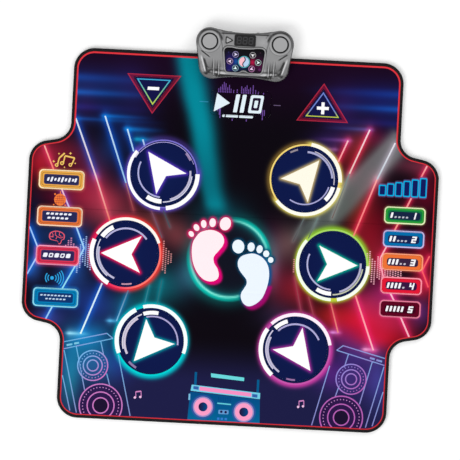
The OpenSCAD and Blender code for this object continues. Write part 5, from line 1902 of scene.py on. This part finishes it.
def box_painted_shading(x, y):
    """Grey of the shell's paint, 0..255, with painted light and shade: painted highlights on ridges, collars and
    rolled edges, painted shade in grooves, valleys, holes and on slopes turned from the light.
    """
    across, off, dist, front = box_measures(x, y)
    tone = np.full(x.shape, 152.0)

    def shade(value, amount):
        amount = np.clip(amount, 0, 1)
        tone[:] = tone * (1 - amount) + value * amount

    # painted highlight to the right of the display window
    shade(168, spot(across, y, 42, 451, 15, 11))
    # painted shade over the lower flanks, in the front corners and below the label
    shade(128, 0.8 * ramp(412, 392, y) * ramp(46, 54, off))
    shade(84, ramp(396, 379, y) * ramp(50, 60, off) * ramp(92, 84, off))
    shade(104, ramp(387, 381, y) * ramp(44, 36, off))
    # painted shade on the back slope between the ears and in the groove in front of it
    middle = ramp(62, 50, off)
    shade(118, ramp(465.5, 467.5, y) * middle)
    shade(64, bell(y - 467.2, 1.1) * middle)
    # painted highlight on the front lip's rolled ridge, painted shade in the valley behind it and on the steep front
    # edge
    lip = ramp(80, 70, off)
    shade(198, bell(front - 5.6, 2.5, 4) * lip * (0.62 + 0.38 * bell(off - 52, 20)))
    shade(60, bell(front - 10.6, 1.1) * lip * ramp(20, 34, off) * 0.6)
    shade(52, ramp(2.6, 1.6, front) * ramp(96, 84, off))
    for side in (-1, 1):
        out = across * side
        # collar, groove, shoulder and well of the button: painted highlight on the collar, painted shade in the
        # groove, on the shoulder and in the well
        radius, angle = ear_polar(out, y)
        upper = ramp(-30, 15, angle) * ramp(178, 150, angle)
        shade(168, bell(radius - 21.8, 2.8, 4) * 0.9)
        shade(96, bell(radius - 25.2, 0.9) * (0.45 + 0.55 * upper))
        shade(52, bell(radius - 28.3, 2.2, 4) * ramp(10, 50, angle) * ramp(180, 162, angle))
        shade(105, bell(radius - 28.4, 2.4, 4) * ramp(-30, 0, angle) * ramp(60, 30, angle))
        shade(38, fade(np.maximum(radius - WELL_R, 0), 0.5))
        # crease with a light line behind it, valley and ridge: painted shade in the crease and valley, painted
        # highlights behind the crease and on the ridge
        gap, share = seg_dist(out, y, *CREASE)
        shade(64, bell(gap, 1.25) * ramp(-0.02, 0.12, share) * ramp(1.02, 0.75, share))
        shade(172, 0.6 * bell(gap - 3.0, 1.4) * ramp(0, 0.2, share) * ramp(1, 0.8, share)
              * (y < 427 + (out - 99) * 0.7))
        gap, share = seg_dist(out, y, (93.0, 412), (79.5, 380))
        shade(72, bell(gap, 2.7) * ramp(-0.05, 0.25, share))
        gap, share = seg_dist(out, y, *FLANK_RIDGE)
        shade(212, bell(gap, 1.9) * ramp(-0.02, 0.25, share) * ramp(1.05, 0.88, share))
        # painted highlight on each rib, painted shade in the valleys beside it
        for rib_x, end in ((56.5, 410), (68.0, 414)):
            gap = out - rib_x - 0.03 * (y - 390)
            run = ramp(end, end - 20, y) * ramp(371.5, 374, y)
            shade(80, bell(gap - 2.4, 1.2) * run * 0.8)
            shade(96, bell(gap + 2.4, 1.2) * run * 0.7)
            shade(194, bell(gap, 1.05) * run)
        # painted shade in the groove from the collar, painted highlight beside it
        gap, _ = seg_dist(out, y, (58, 468), (48, 428))
        shade(112, 0.7 * bell(gap, 1.3))
        shade(170, 0.4 * bell(gap - 3.2, 1.3))
    # painted highlight on the label's bezel, painted shade in the valley outside it and at the label's edge
    gap = loop_dist(x, y, LABEL)
    shade(172, 0.8 * bell(gap - 1.7, 1.2))
    shade(88, bell(gap - 4.5, 1.0) * (0.35 + 0.65 * ramp(418, 432, y)))
    shade(60, fade(gap, 0.5))
    # painted shade round the display window and the play key's hole
    for loop in (WINDOW, PLAY_HOLE):
        shade(70, fade(loop_dist(x, y, loop), 0.6))
    # dark rounded rim: painted shade on the rounded edge
    shade(66, ramp(2.6, 1.1, dist) * (0.55 + 0.45 * np.maximum(
        ramp(425, 415, y), ramp(440, 452, y) * ramp(50, 62, off))))
    return tone


def boundary_chains(tris):
    """Closed runs of boundary vertices, longest first."""
    following = dict(boundary(tris))
    chains, seen = [], set()
    for first in following:
        if first in seen:
            continue
        chain = [first]
        seen.add(first)
        vert = following[first]
        while vert != first and vert not in seen:
            chain.append(vert)
            seen.add(vert)
            vert = following[vert]
        chains.append(chain)
    return sorted(chains, key=lambda chain: -len(chain))


def shell_mesh():
    """Hollow moulding: shaped top, outer wall, bottom rim, inner wall and flat ceiling; the
    holes go right through."""
    holes = [subdivide(hole, 1.3) for hole in
             [dot(*centre, WELL_R, 90) for centre in BUTTONS.values()] + [LABEL, WINDOW, PLAY_HOLE]]
    low, high = np.min(BOX, 0), np.max(BOX, 0)

    def grid(step):
        points = staggered(np.arange(low[0], high[0] + step, step),
                           np.arange(low[1], high[1] + step, step), step / 2)
        return points[inside(points[:, 0], points[:, 1], [BOX])]

    loops = ([BOX] + holes + [inset(BOX, dist) for dist in (0.35, 0.9, 1.8, 3.0)]
             + [inset(hole, -dist) for hole in holes for dist in (0.5, 1.2)])
    flat, tris = triangulate(grid(SHELL_PITCH), loops, [], BOX, holes)
    main, *hole_chains = boundary_chains(tris)
    top_z = box_height(flat[:, 0], flat[:, 1])
    verts = [(x, y, z) for (x, y), z in zip(flat, top_z)]
    faces = [tuple(t) for t in tris]

    def add_ring(points, heights):
        first = len(verts)
        verts.extend((p[0], p[1], z) for p, z in zip(points, np.broadcast_to(heights, len(points))))
        return list(range(first, first + len(points)))

    def strip(upper, lower):
        for i in range(len(upper)):
            j = (i + 1) % len(upper)
            faces.append((upper[j], upper[i], lower[i], lower[j]))

    rim = flat[main]
    rim_list = [tuple(p) for p in rim]
    inner = inset(rim_list, SHELL_WALL)
    last = main
    for points, heights in (
            (rim, top_z[main] * (1 - 0.35) + SHELL_BOTTOM * 0.35),
            (rim, top_z[main] * (1 - 0.7) + SHELL_BOTTOM * 0.7),
            (rim, SHELL_BOTTOM + 0.35), (inset(rim_list, 0.35), SHELL_BOTTOM),
            (inner, SHELL_BOTTOM), (inner, SHELL_CEILING)):
        ring = add_ring(points, heights)
        strip(last, ring)
        last = ring
    # ceiling: the inner wall and the holes' walls are its borders
    borders, ids = [np.array(inner)], list(last)
    for chain in hole_chains:
        ring = add_ring(flat[chain], SHELL_CEILING)
        strip(chain, ring)
        borders.append(flat[chain])
        ids += ring
    edges, first = [], 0
    for border in borders:
        count = len(border)
        edges += [(first + i, first + (i + 1) % count) for i in range(count)]
        first += count
    fill = grid(6.0)
    fill = fill[inside(fill[:, 0], fill[:, 1], [inner])
                & (loop_dist(fill[:, 0], fill[:, 1], inner) > 1.5)]
    ceiling, ceiling_tris, merged = delaunay(np.concatenate(borders + [fill]), edges, inner,
                                             borders[1:], 1e-5, True)
    vert_of = {new: ids[old] for new, olds in enumerate(merged) for old in olds
               if old < len(ids)}
    for i, (x, y) in enumerate(ceiling):
        if i not in vert_of:
            vert_of[i] = len(verts)
            verts.append((x, y, SHELL_CEILING))
    for tri in ceiling_tris:
        face = [vert_of[i] for i in tri]
        if len(set(face)) == 3:
            faces.append(tuple(face[::-1]))
    ob = make_mesh("control_box_shell", np.array(verts) / 1000.0, faces, PAINT)
    face_outward(ob)
    ob.data.polygons.foreach_set("use_smooth", [True] * len(ob.data.polygons))
    return ob


def make_shell():
    ob = shell_mesh()
    places = np.empty(len(ob.data.vertices) * 3)
    ob.data.vertices.foreach_get("co", places)
    x, y, z = (places.reshape(-1, 3) * 1000).T
    # painted highlights and painted shade of the shaped top, with their contrast raised
    tone = np.clip(146 + (box_painted_shading(x, y) - 152) * 1.3, 22, 236)
    inner = ramp(29.5, 27.5, z)     # plain grey below the shaped top
    tone = tone * (1 - inner) + 112 * inner
    store_colours(ob.data.attributes.new("PaintedShadeTone", "FLOAT_COLOR", "POINT"),
                  linear(np.stack([tone, tone, tone * 1.004 + 0.5], 1)))
    split_edges(ob, 50)
    mount(ob, "back_panel", "box_top_shell", "box_shell")


# ---------------------------------------------------------------- buttons and play key
# section of a button, (radius, z), from the axis out over the top and back under
CAP_PROFILE = [
    (0, 33.9), (6, 33.95), (11, 34.05), (13.6, 34.25), (14.9, 34.3), (15.7, 34.05), (16.1, 33.4),
    (16.15, 31.9), (16.25, 31.45), (18.2, 31.3), (18.4, 30.9), (18.2, 30.2), (16.0, 29.9),
    (15.2, 29.0), (14.0, 28.9), (13.6, 30.2), (12.6, 31.0), (3.4, 31.2), (3.0, 30.6), (3.0, 26.4),
    (2.6, 26.1), (0, 26.1)]
# the play key: scale of its triangle and z, above its round stem
PLAY_STATIONS = ((1.02, 29.9), (1.04, 30.4), (1.04, 31.2), (1.0, 31.5), (0.80, 31.7),
                 (0.78, 33.2), (0.74, 33.8), (0.62, 34.1), (0.3, 34.2))
PLAY_STEM_R, PLAY_STEM_Z = 2, (26.1, 29.6)


def lathe(name, profile, centre, material, sides=72):
    """Turned piece; the profile starts and ends on the axis."""
    verts, faces, rings = [], [], []
    for radius, z in profile:
        first = len(verts)
        loop = [centre] if radius < 1e-6 else dot(*centre, radius, sides)
        verts += [(x / 1000, y / 1000, z / 1000) for x, y in loop]
        rings.append(list(range(first, len(verts))))
    for upper, lower in zip(rings[:-1], rings[1:]):
        for k in range(sides):
            j = (k + 1) % sides
            if len(upper) == 1:
                faces.append((upper[0], lower[k], lower[j]))
            elif len(lower) == 1:
                faces.append((upper[k], lower[0], upper[j]))
            else:
                faces.append((upper[k], lower[k], lower[j], upper[j]))
    ob = make_mesh(name, verts, faces, material, smooth=True)
    face_outward(ob)
    return ob


def stack(name, layers, material):
    """Stack of (loop, z) layers with equal point counts, closed at both ends."""
    size = len(layers[0][0])
    verts = [(x / 1000, y / 1000, z / 1000) for loop, z in layers for x, y in loop]
    faces = []
    for m in range(len(layers) - 1):
        for k in range(size):
            a, b = m * size + k, m * size + (k + 1) % size
            faces.append((a, b, b + size, a + size))
    bottom, top = len(verts), len(verts) + 1
    for loop, z in (layers[0], layers[-1]):
        x, y = np.mean(loop, 0)
        verts.append((x / 1000, y / 1000, z / 1000))
    last = (len(layers) - 1) * size
    faces += [(bottom, (k + 1) % size, k) for k in range(size)]
    faces += [(top, last + k, last + (k + 1) % size) for k in range(size)]
    ob = make_mesh(name, verts, faces, material, smooth=True)
    face_outward(ob)
    return ob


def shade_faces_below(ob, height):
    """Gives the faces below a height in metres a dark material: painted shade in the well round the key."""
    ob.data.materials.append(WELL_SHADE)
    for face in ob.data.polygons:
        if face.center.z < height:
            face.material_index = 1


def make_buttons():
    for name, centre in BUTTONS.items():
        ob = lathe("cap_" + name, CAP_PROFILE, centre, BUTTON_GREY)
        # the cap's faces below 33 mm are dark: painted shade in the well
        shade_faces_below(ob, 0.0330)
        split_edges(ob, 60)
        mount(ob, name, name, "button")


def make_play_key():
    cx, cy = BOX_X - 37.7, 452.5
    corners = round_triangle(PLAY, 2)
    count = len(corners)
    stem = [(cx + PLAY_STEM_R * math.cos(2 * math.pi * k / count + 2.4),
             cy + PLAY_STEM_R * math.sin(2 * math.pi * k / count + 2.4)) for k in range(count)]
    # both loops start at the same angle, so the layers don't twist
    corners, stem = (sorted(loop, key=lambda p: math.atan2(p[1] - cy, p[0] - cx))
                     for loop in (corners, stem))
    ob = stack("play_key_cap", [(stem, z) for z in PLAY_STEM_Z]
               + [(grow(corners, scale), z) for scale, z in PLAY_STATIONS], BUTTON_GREY)
    # the key's faces below 32.4 mm are dark: painted shade in the well
    shade_faces_below(ob, 0.0324)
    split_edges(ob, 55)
    mount(ob, "play_key", "play_key", "button")


# ---------------------------------------------------------------- display and label
def edge_drop(loop, height, drop, width):
    """Flat face that drops at its edge."""
    return lambda x, y: height - drop * fade(loop_dist(x, y, loop), width)


def window_colour(x, y):
    wash = Wash(x, (37, 37, 38))
    wash.rgb -= (6 * ramp(8, 0, np.abs(np.abs(x - BOX_X) - 7.5)))[..., None] * 0.6
    return wash.rgb


def make_window():
    """Dark glass with three faint figures behind it."""
    for dx in (-13.4, 0, 13.4):
        ink_figure("abcdefg", BOX_X + dx, WINDOW_Y, width=8.6, height=15.2, thick=2.0,
                   reach=-0.5, slant=0.06, colour=(64, 64, 66))
    loop = rounded_rect(BOX_X, WINDOW_Y, 47, 24.6, 3)
    ob = sheet("display_glass", loop, [], take_inked(), edge_drop(loop, 33.15, 0.5, 0.5), 31.5,
               GLOSS, pitch=1.2, coarse=4.0, edge_step=0.9, colour_at=window_colour)
    mount(ob, "back_panel", "display_window", "display")


# arrow signs on the label: centre, colour, arrow's turn in degrees
LABEL_ICONS = (((-10, 421), (178, 165, 225), 0), ((29, 421), (200, 198, 200), 150),
               ((-22, 405), (205, 165, 215), 180), ((42, 405), (190, 225, 215), 0),
               ((-9, 390), (170, 215, 235), -30), ((28, 390), (232, 150, 215), 200))
# soft lights on the label: colour, centre, half-widths
LABEL_GLOWS = (((22, 8, 84), (-22, 408), 13, 20), ((10, 10, 60), (-20, 388), 16, 10),
               ((0, 70, 130), (-8, 405), 6.5, 9), ((170, 0, 44), (29, 405), 7, 9),
               ((70, 0, 44), (46, 400), 13, 18), ((0, 24, 50), (8, 389), 16, 7))


def ink_label():
    for (x, y), colour, turn in LABEL_ICONS:
        ink(circle(x, y, 7.6), tuple(v * 0.28 for v in colour), 0.8)
        ink([dot(x, y, 7.2, 28), dot(x, y, 6.0, 24)], tuple(v * 0.85 for v in colour), 0.9)
        cos_t, sin_t = math.cos(math.radians(turn)), math.sin(math.radians(turn))
        ink([(x + a * cos_t - b * sin_t, y + a * sin_t + b * cos_t)
             for a, b in ((4.6, 0), (-3.4, 4.0), (-1.3, 0), (-3.4, -4.0))],
            tuple(min(255, 120 + v * 0.62) for v in colour))
    # two-tone disc divided by a wave
    x, y = 10, 405
    ink([dot(x, y, 13.4, 48), dot(x, y, 11.6, 44)], (90, 190, 200), 0.9)
    wave = [(x + 2.6 * math.sin(math.pi * (k / 24 * 2 - 1)), y - 11 + 22 * k / 24)
            for k in range(25)]
    ink(wave + [on_circle(x, y, 11.2, angle) for angle in range(80, -81, -8)], (182, 210, 240))
    ink(wave[::-1] + [on_circle(x, y, 11.2, angle) for angle in range(-100, -261, -8)],
        (250, 190, 202))
    ink([(px - 1.3, py) for px, py in wave] + [(px + 1.3, py) for px, py in wave[::-1]],
        (24, 10, 36), 0.85)
    for x, y, radius, colour in ((-24, 384, 3.4, (60, 50, 110)), (46, 389, 3.2, (120, 60, 130)),
                                 (-26, 425, 1.6, (60, 60, 140)), (46, 427, 1.4, (110, 60, 90))):
        ink(dot(x, y, radius, 14), colour, 0.5)


def label_colour(x, y):
    wash = Wash(x, (4, 3, 14))
    for colour, centre, half_x, half_y in LABEL_GLOWS:
        wash.screen(colour, spot(x, y, *centre, half_x, half_y))
    return wash.rgb * (1 - 0.92 * bell(y - 438, 12)[..., None])


def make_label():
    ink_label()
    loop = inset(LABEL, 0.25)
    ob = sheet("label_panel", loop, [], take_inked(), edge_drop(loop, 32.2, 0.35, 0.6), 30.6,
               GLOSS, pitch=1.2, coarse=4.0, edge_step=1.0, colour_at=label_colour)
    mount(ob, "back_panel", "label_inlay", "label")


# ---------------------------------------------------------------- floor, light, camera
def make_floor():
    material, nodes, surface = new_material("pale_floor")
    nodes.fill(surface, {
        "Base Color": nodes.mix(nodes.noise(nodes.coords(), 3.0, 4.0),
                                (0.975, 0.975, 0.975, 1), (0.99, 0.99, 0.99, 1)),
        "Roughness": 0.9, "Specular IOR Level": 0.05,
        "Emission Color": (1, 1, 1, 1), "Emission Strength": 0.09})
    half, z = 6, -0.0006
    corners = [(-half, -half, z), (half, -half, z), (half, half, z), (-half, half, z)]
    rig.stage(make_mesh("floor", corners, [(0, 1, 2, 3)], material))


def make_world():
    """White surroundings, brighter near the horizon and towards the front."""
    world = bpy.data.worlds.new("studio")
    scene.world = world
    world.use_nodes = True
    nodes = Nodes(world.node_tree)
    axes = nodes.add("SeparateXYZ", {0: nodes.coords("Generated")}).outputs
    strength = nodes.calc("MULTIPLY", nodes.span(axes[2], 1.0, 0.62),
                          nodes.span(axes[1], 1.32, 0.68, start=-1.0, end=1.0))
    background = nodes.add("Background", {"Color": (1, 1, 1, 1), "Strength": strength})
    nodes.add("OutputWorld", {0: background.outputs[0]})


def add_area_light(name, location, target, size, power):
    light = bpy.data.lights.new(name, "AREA")
    light.energy = power
    light.size = size
    light.shape = "SQUARE"
    ob = bpy.data.objects.new(name, light)
    scene.collection.objects.link(ob)
    ob.location = location
    ob.rotation_mode = "QUATERNION"
    ob.rotation_quaternion = (Vector(target) - Vector(location)).to_track_quat("-Z", "Y")


def add_camera():
    """Long lens looking straight down from high above."""
    camera = bpy.data.cameras.new("camera")
    camera.lens = 480
    camera.sensor_width = 36
    camera.clip_start, camera.clip_end = 0.5, 60
    ob = bpy.data.objects.new("camera", camera)
    scene.collection.objects.link(ob)
    ob.location = (-0.0018, 0.0235, 13.904 + MAT_TOP / 1000)
    ob.rotation_euler = (0, 0, math.radians(3))
    scene.camera = ob


# ---------------------------------------------------------------- build
make_covers()
make_pads()
for half_name, half_paths in BINDING_PATHS.items():
    make_binding(half_name, half_paths)
for half_name, half_paths in BINDING_PATHS.items():
    make_stitches(half_name, half_paths)
for half_name, cloth_half in HALVES.items():
    make_base(half_name, cloth_half)
for half_name, cloth_half in HALVES.items():
    make_grip_dots(half_name, cloth_half)
make_shell()
make_buttons()
make_play_key()
make_window()
make_label()
make_floor()
make_world()
add_area_light("key", location=(-1.6, -1.5, 2.4), target=(0, 0.1, 0), size=1.4, power=34)
add_area_light("rim", location=(1.8, 2.2, 1.6), target=(0, 0.2, 0), size=1.2, power=14)
add_camera()
scene.view_settings.view_transform = "Standard"

vis_lo, vis_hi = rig.bounds()
json.dump({"cad": [list(map(float, cad_lo)), list(map(float, cad_hi))],
           "visual": [list(map(float, vis_lo)), list(map(float, vis_hi))]},
          open("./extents.json", "w"))
